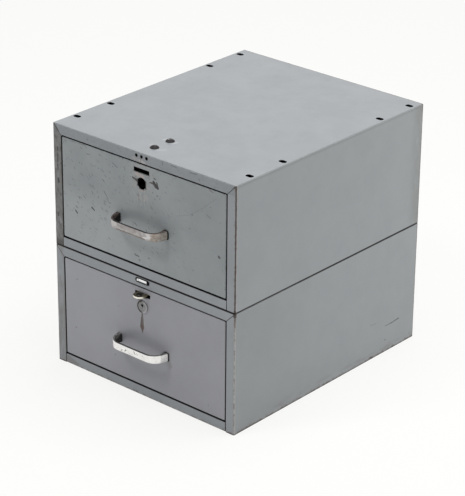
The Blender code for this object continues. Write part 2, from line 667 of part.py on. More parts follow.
def add_handle(prefix, drawer):
    name = prefix + "handle"
    mesh = plate_mesh(name, [handle_outline()], HANDLE_HEIGHT)
    flare = HANDLE_FOOT_HEIGHT / HANDLE_HEIGHT - 1
    for corner in mesh.vertices:
        corner.co.z *= 1 + flare * (1 + corner.co.y / HANDLE_STANDOFF)
    handle = add_piece(name, mesh, CAST_METAL, drawer, (0, FRONT_Y - SEAT, HANDLE_Z))
    edge = handle.modifiers.new("edge", "BEVEL")
    edge.width = HANDLE_EDGE
    edge.segments = BEND_STEPS
    edge.limit_method = "ANGLE"
    bores = handle_screw_pegs(2 * (HANDLE_SCREW_BITE + SEAT))
    combine(handle, add_cutter(name + "_bores", bores, drawer))
    length = HANDLE_SCREW_BITE + SHEET + SEAT
    profile = domed_bolt(HANDLE_SCREW_HEAD, HANDLE_SCREW_HEAD_HEIGHT, HANDLE_SCREW, length)
    for side_name, side in SIDES:
        place = (side * HANDLE_SCREW_X, FRONT_Y + SHEET + SEAT, HANDLE_Z)
        add_turned(f"{prefix}handle_screw_{side_name}", profile, ZINC, drawer, place, FACING_BACK)


def add_lock_hanger(prefix, unit):
    """A strap bolted under the top sheet and stepped down to the height of the padlock slot."""
    front_y = HANGER_ROWS[0] - STRAP_END
    shape = bmesh.new()
    bmesh.ops.create_grid(shape, x_segments=1, y_segments=1, size=0.5)
    bmesh.ops.scale(shape, vec=(STRAP_WIDTH, STRAP_WEB_Y - front_y, 1), verts=shape.verts)
    bmesh.ops.translate(shape, vec=(0, (STRAP_WEB_Y + front_y) / 2, INNER_TOP), verts=shape.verts)
    fold_edges(shape, lambda middle: close(middle.y, STRAP_WEB_Y), (0, 0, STRAP_FOOT_TOP - INNER_TOP))
    fold_edges(shape, lambda middle: close(middle.z, STRAP_FOOT_TOP), (0, STRAP_FOOT, 0))
    name = prefix + "lock_hanger"
    hanger = add_sheet(name, shape, (0, 0, 1), ZINC, unit, STRAP)
    bolts = [(0, y, INNER_TOP) for y in HANGER_ROWS]
    depth = STRAP + 2 * CUT_MARGIN
    combine(hanger, add_cutter(
        name + "_bolt_holes", peg_shape(bolts, HANGER_BOLT + 2 * SEAT, depth), unit))
    rivets = [(side * RIVET_PITCH / 2, RIVET_Y, STRAP_FOOT_TOP) for _, side in SIDES]
    combine(hanger, add_cutter(name + "_rivet_holes", peg_shape(rivets, RIVET + 2 * SEAT, depth), unit))
    nut = hex_nut_mesh(prefix + "hanger_nut", NUT_FLATS, HANGER_BOLT + 2 * SEAT, NUT_THICKNESS)
    nut_top = INNER_TOP - STRAP - SEAT
    length = UNIT_HEIGHT + SEAT - nut_top + NUT_THICKNESS + BOLT_TAIL
    profile = domed_bolt(HANGER_HEAD, HANGER_HEAD_HEIGHT, HANGER_BOLT, length)
    for row, y in zip(("front", "rear"), HANGER_ROWS):
        add_turned(f"{prefix}hanger_bolt_{row}", profile, DARK_STEEL, unit, (0, y, UNIT_HEIGHT + SEAT))
        nut_place = (0, y, nut_top - NUT_THICKNESS / 2)
        add_piece(f"{prefix}hanger_nut_{row}", nut, DARK_STEEL, unit, nut_place)


def add_staple(prefix, unit):
    """The staple: a tongue with a round nose and its eye, and a side notch that the lock's cam turns into."""
    half = STAPLE_WIDTH / 2
    nose_y = FRONT_Y - STAPLE_REACH
    notch_front = CAM_Y - CAM_THICKNESS / 2 - NOTCH_CLEARANCE
    notch_back = CAM_Y + CAM_THICKNESS / 2 + NOTCH_CLEARANCE
    neck = -CAM_WIDTH / 2 - NOTCH_SIDE_CLEARANCE
    outline = rounded([
        (-half, nose_y, half), (half, nose_y, half),
        (half, notch_front, 0), (neck, notch_front, 0), (neck, notch_back, 0), (half, notch_back, 0),
        (half, STRAP_BACK_Y, 0), (-half, STRAP_BACK_Y, 0)])
    eye = circle((0, nose_y + half), STAPLE_EYE)
    rivets = [circle((side * RIVET_PITCH / 2, RIVET_Y), RIVET + 2 * SEAT) for _, side in SIDES]
    mesh = plate_mesh(prefix + "padlock_staple", [outline, eye] + rivets, STAPLE_THICKNESS)
    place = (0, 0, STAPLE_TOP - STAPLE_THICKNESS / 2)
    add_piece(prefix + "padlock_staple", mesh, BRASS, unit, place)
    grip = STRAP + STAPLE_THICKNESS + 3 * SEAT
    profile = domed_rivet(RIVET_HEAD, RIVET_HEAD_HEIGHT, RIVET, grip)
    for side_name, side in SIDES:
        place = (side * RIVET_PITCH / 2, RIVET_Y, STRAP_FOOT_TOP + SEAT)
        add_turned(f"{prefix}staple_rivet_{side_name}", profile, ZINC, unit, place)


def add_lock(prefix, drawer, lock_axis):
    """The cam lock. Its own +Z is the lock axis, which looks out of the drawer front."""
    face = LOCK_FACE / 2
    body = LOCK_HOLE / 2 - SEAT
    bore = LOCK_BORE / 2
    length = BARREL_BACK_Y - FRONT_Y
    at_face = (0, FRONT_Y - SEAT, LOCK_Z)
    name = prefix + "lock_barrel"
    barrel = add_turned(name, [
        (bore, LOCK_FACE_THICKNESS), (face - LOCK_FACE_EDGE, LOCK_FACE_THICKNESS),
        (face, LOCK_FACE_THICKNESS - LOCK_FACE_EDGE), (face, 0), (body, 0), (body, -length),
        (bore, -length)], ZINC, drawer, at_face, FACING_FRONT, ring=True)
    flats = bmesh.new()
    for _, side in SIDES:
        middle = side * (LOCK_HOLE_FLATS / 2 - SEAT + body / 2)
        block = (
            Matrix.Translation((middle, FRONT_Y - SEAT + length / 2 + CUT_MARGIN / 2, LOCK_Z))
            @ Matrix.Diagonal((body, length + CUT_MARGIN, LOCK_HOLE, 1)))
        bmesh.ops.create_cube(flats, size=1, matrix=block)
    combine(barrel, add_cutter(name + "_flats", flats, drawer))

    nut = hex_nut_mesh(prefix + "lock_nut", LOCK_NUT_FLATS, LOCK_HOLE, LOCK_NUT_THICKNESS)
    nut_y = FRONT_Y + SHEET + SEAT + LOCK_NUT_THICKNESS / 2
    add_piece(prefix + "lock_nut", nut, ZINC, drawer, (0, nut_y, LOCK_Z), FACING_FRONT)
    add_plug(prefix, lock_axis, length)
    add_cam(prefix, lock_axis)


def add_plug(prefix, lock_axis, length):
    """The plug that the key turns, with a square end for the cam. Places are from the lock's axis."""
    name = prefix + "lock_plug"
    front_z = LOCK_FACE_THICKNESS + SEAT - PLUG_RECESS
    radius = PLUG / 2
    plug = add_turned(
        name, [(0, front_z), (radius, front_z), (radius, -length), (0, -length)],
        BRASS, lock_axis, (0, 0, 0), FACING_FRONT)
    half = SHANK / 2
    shank_end = length + 2 * SEAT + CAM_THICKNESS
    shank = box_shape((-half, length - half, -half), (half, shank_end, half))
    combine(plug, add_cutter(name + "_shank", shank, lock_axis), "UNION")
    keyway = box_shape(
        (-KEYWAY_WIDTH / 2, -front_z - CUT_MARGIN, -KEYWAY_HEIGHT / 2),
        (KEYWAY_WIDTH / 2, KEYWAY_DEPTH - front_z, KEYWAY_HEIGHT / 2))
    combine(plug, add_cutter(name + "_keyway", keyway, lock_axis))
    screw_hole = peg_shape(
        [(0, shank_end, 0)], CAM_SCREW + 2 * SEAT, 2 * (CAM_SCREW_BITE + SEAT), ALONG_Y, steps=HOLE_STEPS)
    combine(plug, add_cutter(name + "_screw_hole", screw_hole, lock_axis))
    profile = domed_bolt(CAM_SCREW_HEAD, CAM_SCREW_HEAD_HEIGHT, CAM_SCREW, CAM_SCREW_BITE)
    add_turned(prefix + "cam_screw", profile, ZINC, lock_axis, (0, shank_end + SEAT, 0), FACING_BACK)


def add_cam(prefix, lock_axis):
    """The cam at rest: unlocked, pointing to +X. A quarter turn stands it up in the staple's notch."""
    hub = CAM_HUB / 2
    tip = CAM_WIDTH / 2
    hub_round = hub * CAM_HUB_ROUNDING
    tip_round = tip * CAM_TIP_ROUNDING
    outline = rounded([
        (-hub, -hub, hub_round), (CAM_LENGTH, -tip, tip_round),
        (CAM_LENGTH, tip, tip_round), (-hub, hub, hub_round)])
    mesh = plate_mesh(prefix + "lock_cam", [outline, square(SHANK + 2 * SEAT)], CAM_THICKNESS)
    add_piece(prefix + "lock_cam", mesh, ZINC, lock_axis, (0, CAM_Y - FRONT_Y, 0), FACING_FRONT)


def add_nameplate(prefix, unit):
    """A bare plate on the top rail, held by a pin at each end."""
    half_height = NAMEPLATE_HEIGHT / 2
    corner = half_height * NAMEPLATE_ROUNDING
    outline = rounded([
        (-NAMEPLATE_HALF, -half_height, corner), (NAMEPLATE_HALF, -half_height, corner),
        (NAMEPLATE_HALF, half_height, corner), (-NAMEPLATE_HALF, half_height, corner)])
    holes = [circle((side * RAIL_HOLE_PITCH, 0), RAIL_HOLE, HOLE_STEPS) for _, side in SIDES]
    mesh = plate_mesh(prefix + "nameplate", [outline] + holes, NAMEPLATE_THICKNESS)
    plate_y = FRONT_Y - SEAT - NAMEPLATE_THICKNESS / 2
    add_piece(prefix + "nameplate", mesh, CAST_METAL, unit, (0, plate_y, RAIL_HOLE_Z), FACING_FRONT)
    length = NAMEPLATE_THICKNESS + 2 * SEAT + SHEET + PIN_TAIL
    profile = domed_bolt(PIN_HEAD, PIN_HEAD_HEIGHT, RAIL_HOLE - 2 * SEAT, length)
    for side_name, side in SIDES:
        place = (side * RAIL_HOLE_PITCH, FRONT_Y - NAMEPLATE_THICKNESS - 2 * SEAT, RAIL_HOLE_Z)
        add_turned(f"{prefix}nameplate_pin_{side_name}", profile, CAST_METAL, unit, place, FACING_FRONT)


def add_stack_bolts(upper_unit):
    """Bolts through the corner slots of the upper base and the lower top. Places are from the upper base."""
    nut = hex_nut_mesh("stack_nut", STACK_NUT_FLATS, STACK_BOLT + 2 * SEAT, NUT_THICKNESS)
    head_z = SHEET + SEAT
    nut_top = -SEAT - SHEET - SEAT
    nut_z = nut_top - NUT_THICKNESS / 2
    length = head_z - nut_top + NUT_THICKNESS + BOLT_TAIL
    profile = domed_bolt(STACK_HEAD, STACK_HEAD_HEIGHT, STACK_BOLT, length)
    for row, y in (("front", SLOT_FRONT_Y), ("rear", SLOT_REAR_Y)):
        for side_name, side in SIDES:
            corner = f"{row}_{side_name}"
            add_turned("stack_bolt_" + corner, profile, ZINC, upper_unit, (side * SLOT_X, y, head_z))
            add_piece("stack_nut_" + corner, nut, ZINC, upper_unit, (side * SLOT_X, y, nut_z))


def add_unit(prefix, base_z):
    """One case with its drawer. Returns the case's empty and the drawer's."""
    unit = new_empty(prefix + "unit", None, (0, 0, base_z))
    drawer = new_empty(prefix + "drawer_slide", unit, (0, 0, 0))
    add_case_shell(prefix, unit)
    add_base_pan(prefix, unit)
    add_bottom_rail(prefix, unit)
    add_back_panel(prefix, unit)
    add_lock_hanger(prefix, unit)
    add_drawer_front(prefix, drawer)
    add_drawer_tray(prefix, drawer)
    add_handle(prefix, drawer)
    for side_name, side in SIDES:
        add_runner(prefix, unit, side_name, side)
        add_drawer_rail(prefix, drawer, side_name, side)
    return unit, drawer


lower_unit, lower_drawer = add_unit("lower_", 0)
upper_unit, upper_drawer = add_unit("upper_", UPPER_BASE)
add_staple("lower_", lower_unit)
add_lock("lower_", lower_drawer, new_empty("lower_lock_axis", lower_drawer, (0, FRONT_Y, LOCK_Z)))
add_nameplate("lower_", lower_unit)
add_stack_bolts(upper_unit)
print(f"drawer travel {DRAWER_TRAVEL * 1000:.1f} mm")
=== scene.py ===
import json
import math

import bmesh
import bpy
from mathutils import Matrix, Vector


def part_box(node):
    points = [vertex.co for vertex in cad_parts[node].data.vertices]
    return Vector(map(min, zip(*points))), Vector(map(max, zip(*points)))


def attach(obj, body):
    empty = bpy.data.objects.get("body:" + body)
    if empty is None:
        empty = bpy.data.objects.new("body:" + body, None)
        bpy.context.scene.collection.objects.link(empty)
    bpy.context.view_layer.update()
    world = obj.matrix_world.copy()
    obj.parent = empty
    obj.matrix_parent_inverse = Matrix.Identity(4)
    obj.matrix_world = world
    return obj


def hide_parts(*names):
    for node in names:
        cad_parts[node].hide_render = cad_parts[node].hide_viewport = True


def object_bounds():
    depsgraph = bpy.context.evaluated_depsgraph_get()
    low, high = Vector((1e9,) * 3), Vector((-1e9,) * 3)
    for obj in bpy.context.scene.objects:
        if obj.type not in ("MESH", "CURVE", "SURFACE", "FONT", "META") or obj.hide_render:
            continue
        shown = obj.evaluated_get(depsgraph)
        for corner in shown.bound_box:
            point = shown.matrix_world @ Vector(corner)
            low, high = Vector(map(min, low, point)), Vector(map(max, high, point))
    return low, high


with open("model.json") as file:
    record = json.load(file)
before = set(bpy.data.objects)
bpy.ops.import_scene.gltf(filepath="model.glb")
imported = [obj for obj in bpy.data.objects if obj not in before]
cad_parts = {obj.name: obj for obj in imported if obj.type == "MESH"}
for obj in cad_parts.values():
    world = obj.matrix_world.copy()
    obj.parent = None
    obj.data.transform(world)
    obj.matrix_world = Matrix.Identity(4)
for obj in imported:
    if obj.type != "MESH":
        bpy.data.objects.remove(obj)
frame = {"nodes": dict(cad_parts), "record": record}
cadBox = [[float(value) for value in corner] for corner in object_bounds()]
units = ("lower_", "upper_")
sides = (("left", -1), ("right", 1))
mm = 0.001
print("frame loaded:", len(frame["nodes"]), "nodes")


# Studio: camera, light and floor
studio = {
    "imageHeight": 496,              # pixels, the frame's long side
    "sensor": 36,
    "focalPixels": 2203.948,
    "azimuth": 41.0,
    "elevation": 24.746,
    "roll": 0.543,
    "distance": 3.56421,
    "aside": -0.01041,
    "upward": -0.02463,
    "target": (0, 0, 0.208),
    "roomColour": (1.0, 1.0, 1.0, 1.0),
    "roomFill": 0.36,                # light from all round
    "backdrop": 0.965,               # how white the room looks to the camera
    "floorSize": 24,
    "floorColour": (0.80, 0.80, 0.80),      # what the floor throws back at the object
    "floorSeen": (0.16, 0.16, 0.158),       # what the camera sees of it, over its lift
    "floorLift": 0.81,
    "floorGlow": (1, 1, 0.985, 1),
    "floorDrop": 0.2 * mm,           # below the lowest face of the object
}
lamps = {
    "overhead": {"place": (0.6, 0.5, 4.6), "size": 3.6, "power": 142},
    "frontLeft": {"place": (-1.0, -2.2, 3.2), "size": 0.9, "power": 33},
    "rightHand": {"place": (1.2, 1.0, 0.6), "size": 0.8, "power": 5.6},
}


def placeCamera():
    azimuth = math.radians(studio["azimuth"])
    elevation = math.radians(studio["elevation"])
    roll = math.radians(studio["roll"])
    level = math.cos(elevation)
    back = Vector((math.sin(azimuth) * level, -math.cos(azimuth) * level, math.sin(elevation)))
    flat = Vector((math.cos(azimuth), math.sin(azimuth), 0))
    above = back.cross(flat)
    right = flat * math.cos(roll) + above * math.sin(roll)
    up = above * math.cos(roll) - flat * math.sin(roll)
    turn = Matrix((right, up, back)).transposed()
    place = Vector(studio["target"]) + right * studio["aside"] + up * studio["upward"]
    bpy.ops.object.camera_add(location=place + back * studio["distance"], rotation=turn.to_euler())
    camera = bpy.context.object
    camera.name = "photoCamera"
    camera.data.sensor_width = studio["sensor"]
    camera.data.lens = studio["focalPixels"] / studio["imageHeight"] * studio["sensor"]
    bpy.context.scene.camera = camera


def hangLamps():
    for name, lamp in lamps.items():
        place = Vector(lamp["place"])
        turn = (place - Vector(studio["target"])).to_track_quat("Z", "Y").to_euler()
        bpy.ops.object.light_add(type="AREA", location=place, rotation=turn)
        light = bpy.context.object
        light.name = name
        light.data.shape = "DISK"
        light.data.size = lamp["size"]
        light.data.energy = lamp["power"]


# Node helpers
def feed(tree, node, inputs):
    for key, value in inputs.items():
        if isinstance(value, bpy.types.NodeSocket):
            tree.links.new(value, node.inputs[key])
        else:
            node.inputs[key].default_value = value
    return node


def addNode(tree, kind, inputs=None, **settings):
    node = tree.nodes.new("ShaderNode" + kind)
    for key, value in settings.items():
        setattr(node, key, value)
    return feed(tree, node, inputs or {})


def calc(tree, operation, *terms):
    return addNode(tree, "Math", dict(enumerate(terms)), operation=operation).outputs[0]


def times(tree, first, second):
    return calc(tree, "MULTIPLY", first, second)


def largest(tree, first, second):      # the first may be missing
    return second if first is None else calc(tree, "MAXIMUM", first, second)


def vectorCalc(tree, operation, *terms):
    return addNode(tree, "VectorMath", dict(enumerate(terms)), operation=operation)


def fade(tree, value, start, end, low=0.0, high=1.0):     # smooth step from low at start to high at end
    inputs = {"Value": value, "From Min": start, "From Max": end, "To Min": low, "To Max": high}
    return addNode(tree, "MapRange", inputs, interpolation_type="SMOOTHSTEP", clamp=False).outputs[0]


def noise(tree, place, scale, detail=2.0, rough=0.5):
    inputs = {"Vector": place, "Scale": scale, "Detail": detail, "Roughness": rough}
    return addNode(tree, "TexNoise", inputs).outputs["Fac"]


def blend(tree, share, first, second):
    node = addNode(tree, "Mix", {0: share}, data_type="RGBA")
    for socket, value in ((node.inputs[6], first), (node.inputs[7], second)):
        if isinstance(value, bpy.types.NodeSocket):
            tree.links.new(value, socket)
        else:
            socket.default_value = (*value, 1)
    return node.outputs[2]


def tint(tree, before, colour, *shares):       # lay a colour on where all the shares meet
    share = shares[0]
    for other in shares[1:]:
        share = times(tree, share, other)
    return blend(tree, share, before, colour)


def newGroup(name, inputs, outputs):
    tree = bpy.data.node_groups.new(name, "ShaderNodeTree")
    for direction, sockets in (("INPUT", inputs), ("OUTPUT", outputs)):
        for socketName, kind in sockets.items():
            tree.interface.new_socket(socketName, in_out=direction, socket_type="NodeSocket" + kind)
    inside = tree.nodes.new("NodeGroupInput").outputs
    outside = tree.nodes.new("NodeGroupOutput")
    return tree, inside, outside


def useGroup(tree, group, inputs):
    node = tree.nodes.new("ShaderNodeGroup")
    node.node_tree = group
    return feed(tree, node, inputs).outputs


def newMaterial(name):
    material = bpy.data.materials.new(name)
    material.use_nodes = True
    tree = material.node_tree
    shader = tree.nodes["Principled BSDF"]
    place = addNode(tree, "TexCoord").outputs["Object"]
    return material, tree, shader, place


# Shared effects
def makeSkinGroup():             # sprayed enamel: orange peel, slow waves in the sheet and a soft mottle
    tree, inside, outside = newGroup(
        "sprayedSkin", {"Vector": "Vector"}, {"Height": "Float", "Mottle": "Float", "Smudge": "Float"})
    place = inside["Vector"]
    peel = noise(tree, place, 700, 2, 0.5)
    wave = noise(tree, place, 9, 1, 0.4)
    feed(tree, outside, {
        "Height": calc(tree, "MULTIPLY_ADD", wave, 9.0, peel),
        "Mottle": fade(tree, noise(tree, place, 16, 5, 0.62), 0.32, 0.72),
        "Smudge": fade(tree, noise(tree, place, 34, 4, 0.7), 0.38, 0.75)})
    return tree


def makeEdgeGroup():             # paint rubbed off along a straight edge through Point
    tree, inside, outside = newGroup(
        "rubbedEdge",
        {"Vector": "Vector", "Point": "Vector", "Across": "Vector", "Width": "Float", "Grain": "Float"},
        {"Bare": "Float", "Stain": "Float"})
    place = inside["Vector"]
    away = vectorCalc(tree, "SUBTRACT", place, inside["Point"]).outputs[0]
    across = vectorCalc(tree, "MULTIPLY", away, inside["Across"]).outputs[0]
    reach = vectorCalc(tree, "LENGTH", across).outputs["Value"]
    patch = noise(tree, place, inside["Grain"], 5, 0.65)
    spread = times(tree, calc(tree, "POWER", patch, 2.6), 7.0)
    share = calc(tree, "DIVIDE", reach, times(tree, inside["Width"], spread))
    feed(tree, outside, {"Bare": fade(tree, share, 1.0, 0.7), "Stain": fade(tree, share, 3.0, 0.8)})
    return tree


def makeRaggedGroup():           # the place itself, shaken a little so that marks get ragged outlines
    tree, inside, outside = newGroup("raggedPlace", {"Vector": "Vector"}, {"Vector": "Vector"})
    place = inside["Vector"]
    cloud = addNode(tree, "TexNoise", {"Vector": place, "Scale": 420.0, "Detail": 2.0}).outputs["Color"]
    shake = vectorCalc(tree, "SCALE", vectorCalc(tree, "SUBTRACT", cloud, (0.5, 0.5, 0.5)).outputs[0])
    shake.inputs["Scale"].default_value = 1.6 * mm
    feed(tree, outside, {"Vector": vectorCalc(tree, "ADD", place, shake.outputs[0]).outputs[0]})
    return tree


def makeMarkGroup():             # one scratch, streak or drip from one point to another
    tree, inside, outside = newGroup(
        "singleMark",
        {"Vector": "Vector", "From": "Vector", "To": "Vector", "From Width": "Float", "To Width": "Float"},
        {"Mask": "Float"})
    away = vectorCalc(tree, "SUBTRACT", inside["Vector"], inside["From"]).outputs[0]
    line = vectorCalc(tree, "SUBTRACT", inside["To"], inside["From"]).outputs[0]
    along = vectorCalc(tree, "DOT_PRODUCT", away, line).outputs["Value"]
    length = vectorCalc(tree, "DOT_PRODUCT", line, line).outputs["Value"]
    share = calc(tree, "MINIMUM", calc(tree, "DIVIDE", along, length), 1.0)
    share = largest(tree, share, 0.0)
    foot = vectorCalc(tree, "SCALE", line)
    tree.links.new(share, foot.inputs["Scale"])
    reach = vectorCalc(tree, "DISTANCE", away, foot.outputs[0]).outputs["Value"]
    width = addNode(tree, "MapRange", {
        "Value": share, "To Min": inside["From Width"], "To Max": inside["To Width"]}, clamp=False).outputs[0]
    feed(tree, outside, {"Mask": fade(tree, calc(tree, "DIVIDE", reach, width), 0.6, 0.35)})
    return tree


def makeNickGroup(name, flat):   # scattered nicks, one to a stretched cell; flat ones lie in X and Z
    tree, inside, outside = newGroup(
        name, {"Vector": "Vector", "Turn": "Vector", "Cell": "Vector", "Size": "Float", "Share": "Float"},
        {"Mask": "Float"})
    laid = addNode(tree, "Mapping", {
        "Vector": inside["Vector"], "Rotation": inside["Turn"], "Scale": inside["Cell"]},
        vector_type="TEXTURE").outputs[0]
    if flat:
        axes = addNode(tree, "SeparateXYZ", {0: laid}).outputs
        laid = addNode(tree, "CombineXYZ", {0: axes[0], 1: axes[2]}).outputs[0]
    cells = addNode(tree, "TexVoronoi", {"Vector": laid, "Scale": 1.0}, feature="F1",
                    voronoi_dimensions="2D" if flat else "3D").outputs
    chance = addNode(tree, "SeparateColor", {0: cells["Color"]}).outputs
    least = calc(tree, "SUBTRACT", 1.0, inside["Share"])
    chosen = addNode(tree, "MapRange", {
        "Value": chance[0], "From Min": least, "From Max": 1.0, "To Min": 0.0, "To Max": inside["Size"]},
        clamp=False).outputs[0]
    share = calc(tree, "DIVIDE", cells["Distance"], largest(tree, chosen, 0.0001))
    depth = calc(tree, "MULTIPLY_ADD", chance[1], 0.7, 0.3)
    feed(tree, outside, {"Mask": times(tree, fade(tree, share, 1.0, 0.5), depth)})
    return tree


def makeGrimeGroup():            # dirt clouds, stretched along an axis by Cell
    tree, inside, outside = newGroup(
        "grimeCloud", {"Vector": "Vector", "Cell": "Vector", "Cover": "Float"}, {"Mask": "Float"})
    laid = vectorCalc(tree, "DIVIDE", inside["Vector"], inside["Cell"]).outputs[0]
    cloud = noise(tree, laid, 1.0, 7, 0.68)
    start = calc(tree, "SUBTRACT", 0.78, inside["Cover"])
    feed(tree, outside, {"Mask": fade(tree, cloud, start, calc(tree, "ADD", start, 0.28))})
    return tree


def makeBrushGroup():            # fine lines from rolling, brushing or sliding
    tree, inside, outside = newGroup(
        "brushedLines", {"Vector": "Vector", "Cell": "Vector"}, {"Lines": "Float"})
    laid = vectorCalc(tree, "DIVIDE", inside["Vector"], inside["Cell"]).outputs[0]
    feed(tree, outside, {"Lines": noise(tree, laid, 1.0, 3, 0.6)})
    return tree


skinGroup = makeSkinGroup()
edgeGroup = makeEdgeGroup()
raggedGroup = makeRaggedGroup()
markGroup = makeMarkGroup()
nickGroup = makeNickGroup("scatteredNicks", False)
frontNickGroup = makeNickGroup("frontNicks", True)
grimeGroup = makeGrimeGroup()
brushGroup = makeBrushGroup()
print("shared effects ready")


# Modelling helpers
def deselect():
    bpy.ops.object.select_all(action="DESELECT")


def pickAll():
    bpy.ops.mesh.select_all(action="SELECT")


def activate(piece):
    deselect()
    piece.select_set(True)
    bpy.context.view_layer.objects.active = piece


def nameNew(name):
    piece = bpy.context.object
    piece.name = name
    piece.data.name = name
    bpy.ops.object.transform_apply(location=True, rotation=True, scale=True)
    return piece


def addBlock(name, low, high):
    deselect()
    low, high = Vector(low), Vector(high)
    bpy.ops.mesh.primitive_cube_add(size=1, location=(low + high) / 2, scale=high - low)
    return nameNew(name)


def addRod(name, centre, diameter, length, axis="Z", corners=48):
    deselect()
    turn = {"Z": (0, 0, 0), "Y": (math.pi / 2, 0, 0), "X": (0, math.pi / 2, 0)}[axis]
    bpy.ops.mesh.primitive_cylinder_add(
        vertices=corners, radius=diameter / 2, depth=length, location=centre, rotation=turn)
    return nameNew(name)


def edit(piece):
    activate(piece)
    bpy.ops.object.mode_set(mode="EDIT")


def leave():
    bpy.ops.object.mode_set(mode="OBJECT")


def pick(piece, kind, wanted):         # in edit mode: select what passes the test, by place or normal
    bpy.ops.mesh.select_mode(type=kind)
    bpy.ops.mesh.select_all(action="DESELECT")
    shape = bmesh.from_edit_mesh(piece.data)
    for part in {"VERT": shape.verts, "EDGE": shape.edges, "FACE": shape.faces}[kind]:
        if wanted(part):
            part.select_set(True)
    bmesh.update_edit_mesh(piece.data)


def middle(edge):
    return (edge.verts[0].co + edge.verts[1].co) / 2


def runsAlong(edge, axis):
    run = (edge.verts[1].co - edge.verts[0].co).normalized()
    return abs(run[axis]) > 0.99


def near(a, b):
    return abs(a - b) < 0.02 * mm


def dropFaces(piece, wanted):
    pick(piece, "FACE", wanted)
    bpy.ops.mesh.delete(type="FACE")


def pullEdges(piece, wanted, offset):
    pick(piece, "EDGE", lambda edge: edge.is_boundary and wanted(middle(edge)))
    bpy.ops.mesh.extrude_edges_move(TRANSFORM_OT_translate={"value": offset})


def applyModifier(piece, kind, **settings):
    activate(piece)
    modifier = piece.modifiers.new(kind, kind)
    for key, value in settings.items():
        setattr(modifier, key, value)
    bpy.ops.object.modifier_apply(modifier=modifier.name)


def faceOut(piece, facing):            # turn an open skin so that its outermost face looks the given way
    facing = Vector(facing)
    edit(piece)
    pickAll()
    bpy.ops.mesh.normals_make_consistent(inside=False)
    shape = bmesh.from_edit_mesh(piece.data)
    across = [face for face in shape.faces if abs(face.normal.dot(facing)) > 0.9]
    outermost = max(across, key=lambda face: face.calc_center_median().dot(facing))
    if outermost.normal.dot(facing) < 0:
        bpy.ops.mesh.flip_normals()
    leave()


sheet = {"thickness": 1.2 * mm, "bend": 2.0 * mm, "bendSteps": 5, "burr": 0.16 * mm}


def foldSheet(piece, facing, thickness=sheet["thickness"]):     # round the folds and give the skin its wall
    faceOut(piece, facing)
    bend = sheet["bend"] + thickness - sheet["thickness"]
    applyModifier(piece, "BEVEL", width=bend, segments=sheet["bendSteps"], limit_method="ANGLE")
    applyModifier(
        piece, "SOLIDIFY", thickness=thickness, offset=-1, use_even_offset=True, use_quality_normals=True)


def cutOut(piece, cutter, operation="DIFFERENCE"):
    applyModifier(piece, "BOOLEAN", object=cutter, operation=operation, solver="EXACT")
    bpy.data.objects.remove(cutter)


def joinAll(pieces):
    deselect()
    for piece in pieces:
        piece.select_set(True)
    bpy.context.view_layer.objects.active = pieces[0]
    if len(pieces) > 1:
        bpy.ops.object.join()
    return bpy.context.object


def addSlots(name, centres, length, width, depth):      # pegs with round ends, long in X
    pegs = []
    for centre in centres:
        peg = addRod(name, centre, width, depth, corners=32)
        edit(peg)
        for way in (-1, 1):
            pick(peg, "VERT", lambda corner: (corner.co.x - centre[0]) * way > 0.01 * mm)
            bpy.ops.transform.translate(value=(way * (length - width) / 2, 0, 0))
        leave()
        pegs.append(peg)
    return joinAll(pegs)


def addPegs(name, centres, diameter, depth, axis="Z", corners=32):
    return joinAll([addRod(name, centre, diameter, depth, axis, corners) for centre in centres])


def finishPiece(piece, body, slot, material, *nodes, burr=sheet["burr"], angle=38):
    if burr:
        applyModifier(
            piece, "BEVEL", width=burr, segments=2, limit_method="ANGLE", angle_limit=math.radians(50))
    activate(piece)
    bpy.ops.object.shade_smooth_by_angle(angle=math.radians(angle))
    applyModifier(piece, "WEIGHTED_NORMAL", keep_sharp=True, weight=60)
    piece.data.materials.clear()
    piece.data.materials.append(material)
    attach(piece, body)
    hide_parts(*nodes)


# Case shells
caseShell = {
    "frameWidth": 17.5 * mm,
    "lip": 12 * mm,
    "slotLength": 13.5 * mm,
    "slotWidth": 9.2 * mm,
    "slotX": 178.8 * mm,
    "slotRows": (-184 * mm, -108.5 * mm, 128 * mm, 205 * mm),
    "boltRows": (-198 * mm, -163 * mm),
    "boltHole": 6.6 * mm,
    "railHole": 4.8 * mm,
    "railHolePitch": 10.5 * mm,
    "railHoleDrop": 6.3 * mm,
    "mitreSlit": 0.5 * mm,
    "mitrePast": 4 * mm,             # how far the slit's blade runs past the corner of the opening
    "mitreDepth": 16 * mm,
    "cutDepth": 9 * mm,
}


def addCaseSlots(height, depth):       # cutters for the slots of a top or a base pan
    centres = [(side * caseShell["slotX"], y, height) for y in caseShell["slotRows"] for _, side in sides]
    return addSlots("slots", centres, caseShell["slotLength"], caseShell["slotWidth"], depth)


